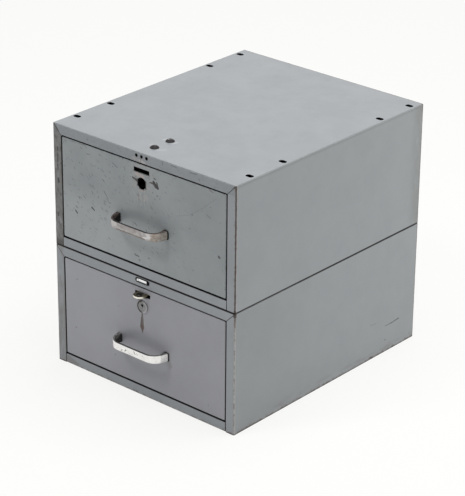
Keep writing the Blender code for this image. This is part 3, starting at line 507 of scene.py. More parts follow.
def makeCaseShell(prefix, material):
    low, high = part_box(prefix + "case_shell")
    width = caseShell["frameWidth"]
    openingX = high[0] - width
    shell = addBlock(prefix + "caseSheet", low, high)
    edit(shell)
    pick(shell, "FACE", lambda face: face.normal.y < -0.9)
    bpy.ops.mesh.inset(thickness=width, use_even_offset=True)
    bpy.ops.mesh.delete(type="FACE")
    dropFaces(shell, lambda face: face.normal.y < -0.9 and face.calc_center_median().z < low[2] + width)
    dropFaces(shell, lambda face: face.normal.y > 0.9 or face.normal.z < -0.9)
    pick(shell, "VERT", lambda corner: near(abs(corner.co.x), openingX) and near(corner.co.z, low[2] + width))
    bpy.ops.transform.translate(value=(0, 0, -width))
    margin = 1 * mm
    pullEdges(
        shell, lambda at: near(at.y, low[1]) and abs(at.x) < openingX + margin and at.z > low[2] + margin,
        (0, caseShell["lip"], 0))
    leave()
    foldSheet(shell, (0, -1, 0))
    depth = caseShell["cutDepth"]
    cutOut(shell, addCaseSlots(high[2], depth))
    bolts = [(0, y, high[2]) for y in caseShell["boltRows"]]
    cutOut(shell, addPegs("bolts", bolts, caseShell["boltHole"], depth))
    railZ = high[2] - caseShell["railHoleDrop"]
    railHoles = [(step * caseShell["railHolePitch"], low[1], railZ) for step in (-1, 0, 1)]
    cutOut(shell, addPegs("rail", railHoles, caseShell["railHole"], depth, "Y"))
    cutOut(shell, joinAll([addMitre(low, high, side) for _, side in sides]))
    finishPiece(shell, "case", "case_paint", material, prefix + "case_shell")


def addMitre(low, high, side):         # a thin blade from the fold at a top corner to the drawer opening
    start = sheet["bend"]
    reach = caseShell["frameWidth"] - start + caseShell["mitrePast"]
    inset = start + reach / 2
    half = Vector((reach / math.sqrt(2), caseShell["mitreDepth"], caseShell["mitreSlit"] / 2))
    blade = addBlock("mitre", -half, half)
    blade.rotation_euler = (0, -side * math.pi / 4, 0)
    blade.location = (side * (high[0] - inset), low[1], high[2] - inset)
    return blade


# Plain folded pieces of the case
def foldPan(name, node, facing, isOpen):       # a box of sheet without its open sides
    low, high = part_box(node)
    pan = addBlock(name, low, high)
    edit(pan)
    dropFaces(pan, isOpen)
    leave()
    foldSheet(pan, facing)
    return pan, low, high


def makeBottomRail(prefix, material):
    rail, _, _ = foldPan(
        prefix + "bottomRailSheet", prefix + "bottom_rail", (0, -1, 0),
        lambda face: face.normal.y > 0.9 or abs(face.normal.x) > 0.9)
    finishPiece(rail, "case", "case_paint", material, prefix + "bottom_rail")


basePan = {"headHole": 18 * mm, "cutDepth": 6 * mm}


def makeBasePan(prefix, material):
    pan, low, _ = foldPan(
        prefix + "basePanSheet", prefix + "base_pan", (0, 0, -1), lambda face: face.normal.z > 0.9)
    depth = basePan["cutDepth"]
    cutOut(pan, addCaseSlots(low[2], depth))
    heads = [(0, y, low[2]) for y in caseShell["boltRows"]]
    cutOut(pan, addPegs("heads", heads, basePan["headHole"], depth, corners=48))
    finishPiece(pan, "case", "case_paint", material, prefix + "base_pan")


backPanel = {"weld": 5.0 * mm, "weldDepth": 0.25 * mm, "weldInset": 9 * mm, "weldsAcross": 7, "weldsUp": 4}


def makeBackPanel(prefix, material):
    panel, low, high = foldPan(
        prefix + "backPanelSheet", prefix + "back_panel", (0, 1, 0), lambda face: face.normal.y < -0.9)
    inset = backPanel["weldInset"]
    spots = []
    for step in range(backPanel["weldsAcross"]):
        x = low[0] + inset + (high[0] - low[0] - 2 * inset) * step / (backPanel["weldsAcross"] - 1)
        spots += [(x, high[1], low[2] + inset), (x, high[1], high[2] - inset)]
    for step in range(1, backPanel["weldsUp"]):
        z = low[2] + inset + (high[2] - low[2] - 2 * inset) * step / backPanel["weldsUp"]
        spots += [(low[0] + inset, high[1], z), (high[0] - inset, high[1], z)]
    cutOut(panel, addPegs("welds", spots, backPanel["weld"], 2 * backPanel["weldDepth"], "Y", 24))
    finishPiece(panel, "case", "case_paint", material, prefix + "back_panel")


# Drawers
drawerFront = {
    "return": 10 * mm,
    "topReturn": 5.5 * mm,
    "haspDrop": 10.2 * mm,
    "haspLength": 32.5 * mm,
    "haspHeight": 6.8 * mm,
    "haspCorner": 0.8 * mm,
    "lockDrop": 31 * mm,
    "lockRound": 19 * mm,
    "lockFlats": 16 * mm,
    "handleRise": 69.4 * mm,
    "screwHole": 4.1 * mm,
    "screwX": 49.83 * mm,
    "cutDepth": 9 * mm,
}


def makeDrawerFront(prefix, material):
    low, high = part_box(prefix + "drawer_front")
    front = addBlock(prefix + "drawerFrontSheet", low, high)
    edit(front)
    pick(front, "FACE", lambda face: face.normal.y > 0.9)
    bpy.ops.mesh.inset(thickness=drawerFront["return"], use_even_offset=True)
    bpy.ops.mesh.delete(type="FACE")
    pick(front, "VERT", lambda corner: near(corner.co.z, high[2] - drawerFront["return"]))
    bpy.ops.transform.translate(value=(0, 0, drawerFront["return"] - drawerFront["topReturn"]))
    leave()
    foldSheet(front, (0, -1, 0))
    depth = drawerFront["cutDepth"]
    half = Vector((drawerFront["haspLength"] / 2, depth / 2, drawerFront["haspHeight"] / 2))
    centre = Vector((0, low[1], high[2] - drawerFront["haspDrop"]))
    hasp = addBlock("hasp", centre - half, centre + half)
    edit(hasp)
    pick(hasp, "EDGE", lambda edge: runsAlong(edge, 1))
    bpy.ops.mesh.bevel(offset=drawerFront["haspCorner"], segments=4, affect="EDGES")
    leave()
    cutOut(front, hasp)
    cutOut(front, addDoubleD((0, low[1], high[2] - drawerFront["lockDrop"]), depth))
    screws = [(side * drawerFront["screwX"], low[1], low[2] + drawerFront["handleRise"]) for _, side in sides]
    cutOut(front, addPegs("screws", screws, drawerFront["screwHole"], depth, "Y"))
    finishPiece(front, prefix + "drawer", "drawer_paint", material, prefix + "drawer_front")


def addDoubleD(centre, depth):
    peg = addRod("lockHole", centre, drawerFront["lockRound"], depth, "Y", 64)
    edit(peg)
    for way in (-1, 1):
        pickAll()
        bpy.ops.mesh.bisect(
            plane_co=(way * drawerFront["lockFlats"] / 2, 0, 0), plane_no=(way, 0, 0), use_fill=True,
            clear_outer=True)
    leave()
    return peg


drawerTray = {"relief": 6 * mm, "rim": 6 * mm, "half": 157 * mm, "sideFlange": 11 * mm, "lip": 6.5 * mm}


def makeDrawerTray(prefix, material):
    low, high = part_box(prefix + "drawer_tray")
    half = drawerTray["half"]
    relief = drawerTray["relief"]
    edgeY = low[1] + sheet["thickness"]
    edgeZ = high[2] - sheet["thickness"]
    backY = high[1] - drawerTray["rim"]
    floorZ = low[2] + drawerTray["lip"]
    tray = addBlock(prefix + "drawerTraySheet", (-half, edgeY, floorZ), (half, backY, edgeZ))
    edit(tray)
    dropFaces(tray, lambda face: face.normal.z > 0.9 or face.normal.y < -0.9)
    starts = (-half + relief, edgeY + relief, floorZ + relief)
    ends = (half - relief, backY - relief, edgeZ - relief)
    for axis in range(3):
        for corner in (starts, ends):
            pickAll()
            bpy.ops.mesh.bisect(plane_co=corner, plane_no=[float(axis == other) for other in range(3)])
    for _, side in sides:
        pullEdges(
            tray, lambda at: near(at.y, edgeY) and near(at.x, side * half) and starts[2] < at.z < ends[2],
            (side * drawerTray["sideFlange"], 0, 0))
        pullEdges(
            tray, lambda at: near(at.z, edgeZ) and near(at.x, side * half) and starts[1] < at.y < ends[1],
            (side * drawerTray["rim"], 0, 0))
    pullEdges(tray, lambda at: near(at.z, edgeZ) and near(at.y, backY) and starts[0] < at.x < ends[0],
              (0, drawerTray["rim"], 0))
    pullEdges(tray, lambda at: near(at.z, floorZ) and near(at.y, edgeY) and starts[0] < at.x < ends[0],
              (0, 0, -drawerTray["lip"]))
    leave()
    foldSheet(tray, (0, 0, -1))
    finishPiece(tray, prefix + "drawer", "drawer_paint", material, prefix + "drawer_tray")


# Bow handles
bowHandle = {
    "grip": 4 * mm,
    "gripHeight": 12.4 * mm,
    "foot": 10 * mm,
    "splay": 10.5 * mm,              # lean of each leg
    "bend": 22 * mm,
    "bendSteps": 20,
    "edge": 1.1 * mm,
    "crown": 0.25 * mm,
    "crownHalf": 4.5 * mm,           # half height of the crowned band
    "past": 1.5 * mm,                # leg run past the drawer front before it is trimmed
    "flare": 34 * mm,                # reach of the taller foot along the leg
    "bore": 4.1 * mm,
    "boreDepth": 6.3 * mm,
}


def makeHandle(prefix, material):
    low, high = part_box(prefix + "handle")
    standoff = high[1] - low[1]
    knee = high[0] - bowHandle["splay"]
    turn = math.atan2(standoff, bowHandle["splay"])
    bendX = knee - bowHandle["bend"] * math.tan(turn / 2)
    bendY = low[1] + bowHandle["bend"]
    midZ = (low[2] + high[2]) / 2
    deselect()
    start = (0, low[1] + bowHandle["grip"] / 2, midZ)
    bpy.ops.mesh.primitive_plane_add(size=1, location=start, rotation=(0, math.pi / 2, 0))
    handle = nameNew(prefix + "bowPull")
    edit(handle)
    pickAll()
    bpy.ops.transform.resize(value=(1, bowHandle["grip"], bowHandle["gripHeight"]), center_override=start)
    pick(handle, "VERT", lambda corner: True)
    bpy.ops.mesh.bevel(offset=bowHandle["edge"], segments=5, affect="VERTICES")
    pick(handle, "EDGE", lambda edge: near(middle(edge).y, low[1]) and runsAlong(edge, 2))
    bpy.ops.mesh.subdivide(number_cuts=5)
    crownHalf = bowHandle["crownHalf"]
    pick(handle, "VERT", lambda corner: near(corner.co.y, low[1]) and abs(corner.co.z - midZ) < crownHalf)
    bpy.ops.transform.translate(value=(0, -bowHandle["crown"], 0))
    pick(handle, "FACE", lambda face: True)
    bpy.ops.mesh.extrude_region_move(TRANSFORM_OT_translate={"value": (bendX, 0, 0)})
    bpy.ops.mesh.spin(
        steps=bowHandle["bendSteps"], angle=-turn, center=(bendX, bendY, midZ), axis=(0, 0, 1))
    shape = bmesh.from_edit_mesh(handle.data)
    ended = [corner.co.copy() for corner in shape.verts if corner.select]
    centre = sum(ended, Vector()) / len(ended)
    footX = high[0] - bowHandle["foot"] / 2
    past = bowHandle["past"]
    run = (high[1] + past - centre.y) / (high[1] - centre.y)
    target = Vector((centre.x + (footX - centre.x) * run, high[1] + past, midZ))
    bpy.ops.mesh.extrude_region_move(TRANSFORM_OT_translate={"value": target - centre})
    thicker = bowHandle["foot"] / (bowHandle["grip"] * math.sin(turn))
    bpy.ops.transform.resize(value=(1 + (thicker - 1) * run, 1, 1), center_override=target)
    pickAll()
    bpy.ops.mesh.bisect(plane_co=(0, high[1], 0), plane_no=(0, 1, 0), use_fill=True, clear_outer=True)
    pick(handle, "VERT", lambda corner: near(corner.co.y, high[1]))
    bpy.ops.transform.resize(
        value=(1, 1, (high[2] - low[2]) / bowHandle["gripHeight"]), center_override=(footX, high[1], midZ),
        use_proportional_edit=True, proportional_edit_falloff="LINEAR", proportional_size=bowHandle["flare"])
    dropFaces(handle, lambda face: abs(face.calc_center_median().x) < 0.01 * mm)
    pickAll()
    bpy.ops.mesh.remove_doubles(threshold=0.005 * mm)
    bpy.ops.mesh.normals_make_consistent(inside=False)
    leave()
    applyModifier(handle, "MIRROR", merge_threshold=0.01 * mm, use_clip=True)
    bores = [(side * drawerFront["screwX"], high[1], midZ) for _, side in sides]
    cutOut(handle, addPegs("bores", bores, bowHandle["bore"], 2 * bowHandle["boreDepth"], "Y"))
    finishPiece(handle, prefix + "drawer", "cast_aluminium", material, prefix + "handle", burr=0, angle=45)


# Domed heads
hangerBolt = {"headHeight": 3.8 * mm, "shank": 6 * mm}


def makeDomedBolt(name, node, body, slot, material, headHeight, shank, axis="Z"):
    low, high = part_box(node)
    centre = (low + high) / 2
    across = 0 if axis == "Z" else 2
    head = high[across] - low[across]
    ball = (head ** 2 / 4 + headHeight ** 2) / (2 * headHeight)
    deselect()
    bpy.ops.mesh.primitive_uv_sphere_add(
        segments=48, ring_count=64, radius=ball, location=(0, 0, headHeight - ball))
    bolt = nameNew(name)
    edit(bolt)
    pickAll()
    bpy.ops.mesh.bisect(plane_co=(0, 0, 0), plane_no=(0, 0, 1), use_fill=True, clear_inner=True)
    pick(bolt, "FACE", lambda face: len(face.verts) > 12)
    bpy.ops.mesh.inset(thickness=(head - shank) / 2)
    length = (high - low)[2 if axis == "Z" else 1] - headHeight
    bpy.ops.mesh.extrude_region_move(TRANSFORM_OT_translate={"value": (0, 0, -length)})
    leave()
    if axis == "Z":
        bolt.location = (centre.x, centre.y, high[2] - headHeight)
    else:
        bolt.rotation_euler = (math.pi / 2, 0, 0)
        bolt.location = (centre.x, low[1] + headHeight, centre.z)
    activate(bolt)
    bpy.ops.object.transform_apply(location=True, rotation=True, scale=True)
    finishPiece(bolt, body, slot, material, node, burr=0.12 * mm, angle=40)


# Padlock staple
padlockStaple = {"eye": 9.5 * mm, "notch": (-7 * mm, -210.2 * mm, 30 * mm, -202.7 * mm), "rivet": 4.6 * mm,
                 "rivetPitch": 12 * mm, "rivetY": -138 * mm, "edge": 0.45 * mm,
                 "roundness": 0.995, "cutDepth": 12 * mm, "cutPast": 3 * mm}


def makeStaple(material):
    low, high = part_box("lower_padlock_staple")
    half = (high[0] - low[0]) / 2
    staple = addBlock("lower_stapleTongue", low, high)
    edit(staple)
    pick(staple, "EDGE", lambda edge: runsAlong(edge, 2) and near(middle(edge).y, low[1]))
    bpy.ops.mesh.bevel(offset=half * padlockStaple["roundness"], segments=16, affect="EDGES")
    leave()
    midZ = (low[2] + high[2]) / 2
    depth, past = padlockStaple["cutDepth"], padlockStaple["cutPast"]
    cutOut(staple, addRod("eye", (0, low[1] + half, midZ), padlockStaple["eye"], depth))
    x0, y0, x1, y1 = padlockStaple["notch"]
    cutOut(staple, addBlock("notch", (x0, y0, low[2] - past), (x1, y1, high[2] + past)))
    rivets = [(side * padlockStaple["rivetPitch"] / 2, padlockStaple["rivetY"], midZ) for _, side in sides]
    cutOut(staple, addPegs("rivets", rivets, padlockStaple["rivet"], depth))
    finishPiece(staple, "case", "old_brass", material, "lower_padlock_staple", burr=padlockStaple["edge"])


# Cam lock
camLock = {
    "faceThickness": 1.6 * mm,
    "faceRim": 1.9 * mm,
    "faceStep": 0.3 * mm,
    "faceSlope": 0.15 * mm,
    "faceEdge": 0.5 * mm,
    "body": 18.4 * mm,
    "flats": 15.4 * mm,
    "bore": 12.4 * mm,
    "plug": 12 * mm,
    "plugRing": 1.1 * mm,
    "plugStep": 0.2 * mm,
    "keyPoint": 3.0 * mm,            # radius of the three-cornered key hole
    "keyRise": 2.5 * mm,
    "keySlot": (1.1 * mm, -3.6 * mm, 0.2 * mm),         # width, and its ends below and above the middle
    "keyDepth": 6 * mm,
    "shank": 7.07 * mm,
    "bodyEdge": 0.12 * mm,
    "plugEdge": 0.1 * mm,
    "cutPast": 3 * mm,
}


def lockCentre():
    low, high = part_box("lower_lock_barrel")
    return low[1], high[1], (low[2] + high[2]) / 2


def makeLockBarrel(material):
    faceY, backY, midZ = lockCentre()
    low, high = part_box("lower_lock_barrel")
    across = high[0] - low[0]
    thickness = camLock["faceThickness"]
    barrel = addRod("lower_lockFace", (0, faceY + thickness / 2, midZ), across, thickness, "Y", 72)
    edit(barrel)
    pick(barrel, "EDGE", lambda edge: all(near(corner.co.y, faceY) for corner in edge.verts))
    bpy.ops.mesh.bevel(offset=camLock["faceEdge"], segments=4, affect="EDGES")
    pick(barrel, "FACE", lambda face: face.normal.y < -0.99 and len(face.verts) > 8)
    bpy.ops.mesh.inset(thickness=camLock["faceRim"] - camLock["faceEdge"])
    bpy.ops.mesh.inset(thickness=camLock["faceSlope"], depth=-camLock["faceStep"])
    pick(barrel, "FACE", lambda face: face.normal.y > 0.9)
    bpy.ops.mesh.inset(thickness=(across - camLock["body"]) / 2)
    bpy.ops.mesh.extrude_region_move(TRANSFORM_OT_translate={"value": (0, backY - faceY - thickness, 0)})
    leave()
    past = camLock["cutPast"]
    for _, side in sides:              # a block takes off each flat of the body
        start, end = sorted((side * camLock["flats"] / 2, side * across))
        cutOut(barrel, addBlock(
            "flat", (start, faceY + thickness, midZ - across), (end, backY + past, midZ + across)))
    length = 2 * (backY - faceY)
    cutOut(barrel, addRod("bore", (0, (faceY + backY) / 2, midZ), camLock["bore"], length, "Y", 64))
    finishPiece(barrel, "lower_drawer", "zinc_steel", material, "lower_lock_barrel", burr=camLock["bodyEdge"])


def makeLockPlug(material):
    _, backY, midZ = lockCentre()
    low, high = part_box("lower_lock_plug")
    plug = addRod("lower_keyPlug", (0, (low[1] + backY) / 2, midZ), camLock["plug"], backY - low[1], "Y", 64)
    edit(plug)
    pick(plug, "FACE", lambda face: face.normal.y < -0.9)
    bpy.ops.mesh.inset(thickness=camLock["plugRing"])
    bpy.ops.mesh.inset(thickness=camLock["plugStep"], depth=-camLock["plugStep"])
    leave()
    half = camLock["shank"] / 2
    cutOut(plug, addBlock("shank", (-half, backY - half, midZ - half), (half, high[1], midZ + half)), "UNION")
    keyCentre = (0, low[1], midZ + camLock["keyRise"])
    keyHole = addRod("keyHole", keyCentre, 2 * camLock["keyPoint"], 2 * camLock["keyDepth"], "Y", 3)
    edit(keyHole)
    pickAll()
    bpy.ops.mesh.normals_make_consistent(inside=False)
    leave()
    cutOut(plug, keyHole)
    width, below, above = camLock["keySlot"]
    cutOut(plug, addBlock(
        "keySlot", (-width / 2, low[1] - camLock["cutPast"], midZ + below),
        (width / 2, low[1] + camLock["keyDepth"], midZ + above)))
    finishPiece(plug, "lower_lock", "old_brass", material, "lower_lock_plug", burr=camLock["plugEdge"])


# Bare nameplate
nameplate = {"corner": 3.0 * mm, "rim": 0.6 * mm, "groove": 0.9 * mm, "slope": 0.2 * mm, "depth": 0.22 * mm,
             "pinHole": 4.8 * mm, "pinHead": 0.8 * mm, "pinShank": 4.2 * mm, "edge": 0.08 * mm,
             "cutDepth": 6 * mm}


def makeNameplate(material):
    low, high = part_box("lower_nameplate")
    plate = addBlock("lower_bareNameplate", low, high)
    edit(plate)
    pick(plate, "EDGE", lambda edge: runsAlong(edge, 1))
    bpy.ops.mesh.bevel(offset=nameplate["corner"], segments=8, affect="EDGES")
    pick(plate, "FACE", lambda face: face.normal.y < -0.9)
    bpy.ops.mesh.inset(thickness=nameplate["rim"])
    bpy.ops.mesh.inset(thickness=nameplate["slope"], depth=-nameplate["depth"])
    bpy.ops.mesh.inset(thickness=nameplate["groove"])
    bpy.ops.mesh.inset(thickness=nameplate["slope"], depth=nameplate["depth"])
    leave()
    midZ = (low[2] + high[2]) / 2
    holes = [(side * caseShell["railHolePitch"], low[1], midZ) for _, side in sides]
    cutOut(plate, addPegs("pins", holes, nameplate["pinHole"], nameplate["cutDepth"], "Y"))
    finishPiece(plate, "case", "cast_aluminium", material, "lower_nameplate", burr=nameplate["edge"])
    for name, _ in sides:
        makeDomedBolt(
            "lower_platePin_" + name, "lower_nameplate_pin_" + name, "case", "cast_aluminium", material,
            nameplate["pinHead"], nameplate["pinShank"], "Y")


print("modelling tools ready")


# Wear: where it lies, in mm from an edge or a face
_, frontY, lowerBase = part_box("lower_case_shell")[0]
halfX, _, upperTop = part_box("upper_case_shell")[1]


def ramp(axis, base, start, end):      # a limit: nothing at start, all at end, in mm from the base
    return axis, base + start * mm, base + end * mm


def zone(colour, strength, *limits, **cloud):      # a tint inside the limits, with or without a cloud of dirt
    return {"colour": colour, "strength": strength, "limits": limits, "cloud": cloud}


def marksOn(axis, level, marks):       # marks on a flat face, from {colour: rows}
    index = "xyz".index(axis)
    laid = []
    for tone, rows in marks.items():   # a row: two ends and their widths in mm, and the strength
        for startA, startB, endA, endB, *rest in rows:
            start, end = [startA * mm, startB * mm], [endA * mm, endB * mm]
            start.insert(index, level)
            end.insert(index, level)
            laid.append((start, end, *rest, tone))
    return laid


def measure(tree, place):              # the axes by name, how far aside, and the height along a mitre
    x, y, z = addNode(tree, "SeparateXYZ", {0: place}).outputs
    aside = calc(tree, "ABSOLUTE", x)
    return {"x": x, "y": y, "z": z, "aside": aside, "mitre": calc(tree, "SUBTRACT", z, aside)}


def zoneMask(tree, axes, limits):      # where every limit is passed
    mask = None
    for axis, start, end in limits:
        part = fade(tree, axes[axis], start, end)
        mask = part if mask is None else times(tree, mask, part)
    return 1.0 if mask is None else mask


def grimeCloud(tree, place, cell, cover):
    return useGroup(tree, grimeGroup, {"Vector": place, "Cell": cell, "Cover": cover})["Mask"]


def layMarks(tree, place, colour, marks):      # marks of one colour are gathered, then laid on together
    ragged = useGroup(tree, raggedGroup, {"Vector": place})["Vector"]
    masks = {}
    for start, end, width, endWidth, strength, tone in marks:
        line = useGroup(tree, markGroup, {
            "Vector": ragged, "From": start, "To": end,
            "From Width": width * mm, "To Width": endWidth * mm})["Mask"]
        masks[tone] = largest(tree, masks.get(tone), times(tree, line, strength))
    for tone, mask in masks.items():
        colour = blend(tree, mask, colour, tone)
    return colour


# Enamel
enamel = {
    "roughness": 0.30, "bareRough": 0.3, "nickRough": 0.2, "smudge": 0.12,
    "peel": 0.006 * mm, "paintDepth": 8.0, "colour": (0.303, 0.320, 0.337), "mottle": (0.275, 0.292, 0.308),
    "stain": (0.085, 0.062, 0.050), "stainStrength": 0.55, "rust": (0.045, 0.026, 0.019),
    "steel": (0.080, 0.062, 0.052), "nick": (0.045, 0.043, 0.042), "nickStrength": 0.85, "flatNicks": False,
}
brownDirt = (0.125, 0.105, 0.085)
# black for dirt in some marks, and for painted shade in the gaps, slots and holes
blackDirtAndShade = (0.012, 0.011, 0.010)
darkMark = (0.055, 0.052, 0.050)
brownMark = (0.110, 0.080, 0.060)
rustMark = (0.06, 0.045, 0.038)
palePink = (0.44, 0.39, 0.37)
palePaint = (0.52, 0.53, 0.54)
upright, alongX, alongY = (1, 1, 0), (0, 1, 1), (1, 0, 1)          # the axes across an edge
frontOnly = ramp("y", frontY, 1.1, 0.7)
leftStile = ramp("x", -halfX, 19, 16.5)
rightSide = ramp("x", halfX, -5, -1.5)
belowMitre = ramp("mitre", upperTop - halfX, 0.3, -0.7)
topRail = ramp("z", 0, 398.5, 400)


def makeEnamel(name, look):
    material, tree, shader, place = newMaterial(name)
    axes = measure(tree, place)
    skin = useGroup(tree, skinGroup, {"Vector": place})
    colour = blend(tree, skin["Mottle"], look["colour"], look["mottle"])
    black = None                       # the painted shade in gaps is metallic black, so it throws no pale reflection back out of a gap
    for spot in look["zones"]:
        mask = zoneMask(tree, axes, spot["limits"])
        if spot["cloud"]:
            mask = times(tree, grimeCloud(tree, place, **spot["cloud"]), mask)
        colour = tint(tree, colour, spot["colour"], mask, spot["strength"])
        if spot["colour"] == blackDirtAndShade:
            black = largest(tree, black, mask)
    bare, stain = None, None
    for point, across, width, grain in look.get("edges", ()):
        rub = useGroup(tree, edgeGroup, {
            "Vector": place, "Point": point, "Across": across, "Width": width, "Grain": grain})
        bare = largest(tree, bare, rub["Bare"])
        stain = largest(tree, stain, rub["Stain"])
    if stain:
        colour = tint(tree, colour, look["stain"], stain, look["stainStrength"])
    dark = None
    for turn, cell, size, share, *limits in look["nicks"]:
        nick = useGroup(tree, frontNickGroup if look["flatNicks"] else nickGroup, {
            "Vector": place, "Turn": turn, "Cell": cell, "Size": size, "Share": share})["Mask"]
        dark = largest(tree, dark, times(tree, nick, zoneMask(tree, axes, limits)))
    colour = tint(tree, colour, look["nick"], dark, look["nickStrength"])
    colour = layMarks(tree, place, colour, look.get("marks", ()))
    height = skin["Height"]
    rough = calc(tree, "MULTIPLY_ADD", skin["Smudge"], look["smudge"], look["roughness"])
    if bare:
        speckle = fade(tree, noise(tree, place, 900, 3, 0.7), 0.35, 0.65)
        colour = blend(tree, bare, colour, blend(tree, speckle, look["rust"], look["steel"]))
        height = calc(tree, "MULTIPLY_ADD", bare, -look["paintDepth"], height)
        rough = calc(tree, "MULTIPLY_ADD", bare, look["bareRough"], rough)
    height = calc(tree, "MULTIPLY_ADD", dark, -look["paintDepth"], height)
    rough = calc(tree, "MULTIPLY_ADD", dark, look["nickRough"], rough)
    bump = addNode(tree, "Bump", {"Height": height, "Distance": look["peel"], "Strength": 1.0})
    feed(tree, shader, {"Base Color": colour, "Roughness": rough, "Normal": bump.outputs[0]})
    if black:
        feed(tree, shader, {"Metallic": black})
    return material


def seamZones(low, high):              # painted shade in the drawer opening, the slots and the rail holes, a dark line along the mitres, and painted shade with black dirt in the seam between the units
    right, _, top = high
    opening = right - caseShell["frameWidth"]
    mitre = top - right
    edge, inward = (low[2], 1) if low[2] > lowerBase else (top, -1)      # where the two units meet
    seam = ramp("z", edge, inward * 2.0, inward * 1.2)
    slotX = caseShell["slotX"]
    reach = caseShell["slotLength"] / 2 + 1 * mm
    return [
        zone(blackDirtAndShade, 0.96, ramp("y", frontY, 0.15, 0.8), ramp("y", frontY, 12.5, 8),
             ramp("aside", opening, 1.6, 1.0), ramp("x", opening, 0.9, 0.5), ramp("z", top, -18.5, -20)),
        zone(blackDirtAndShade, 0.96, ramp("aside", slotX - reach, -0.3, 0), ramp("aside", slotX + reach, 0.3, 0),
             ramp("y", frontY, 20, 22), ramp("y", -frontY, -9, -12), ramp("z", top, -0.15, -0.4),
             ramp("z", top, -1.6, -1.3)),
        zone(blackDirtAndShade, 0.96, ramp("aside", 0, 14.5, 14), ramp("y", frontY, 0.1, 0.35),
             ramp("y", frontY, 1.18, 1.08), ramp("z", top, -9.6, -9.2), ramp("z", top, -3.0, -3.4)),
        zone((0.03, 0.026, 0.023), 0.80, ramp("y", frontY, 3, 1), ramp("aside", opening, -1, 0.5),
             ramp("mitre", mitre, -1.2, -0.4), ramp("mitre", mitre, 1.2, 0.4)),
        zone(blackDirtAndShade, 0.95, seam, ramp("y", frontY, 4, 2.5)),
        zone(blackDirtAndShade, 0.93, seam, ramp("aside", right, -4, -2.5)),
    ]


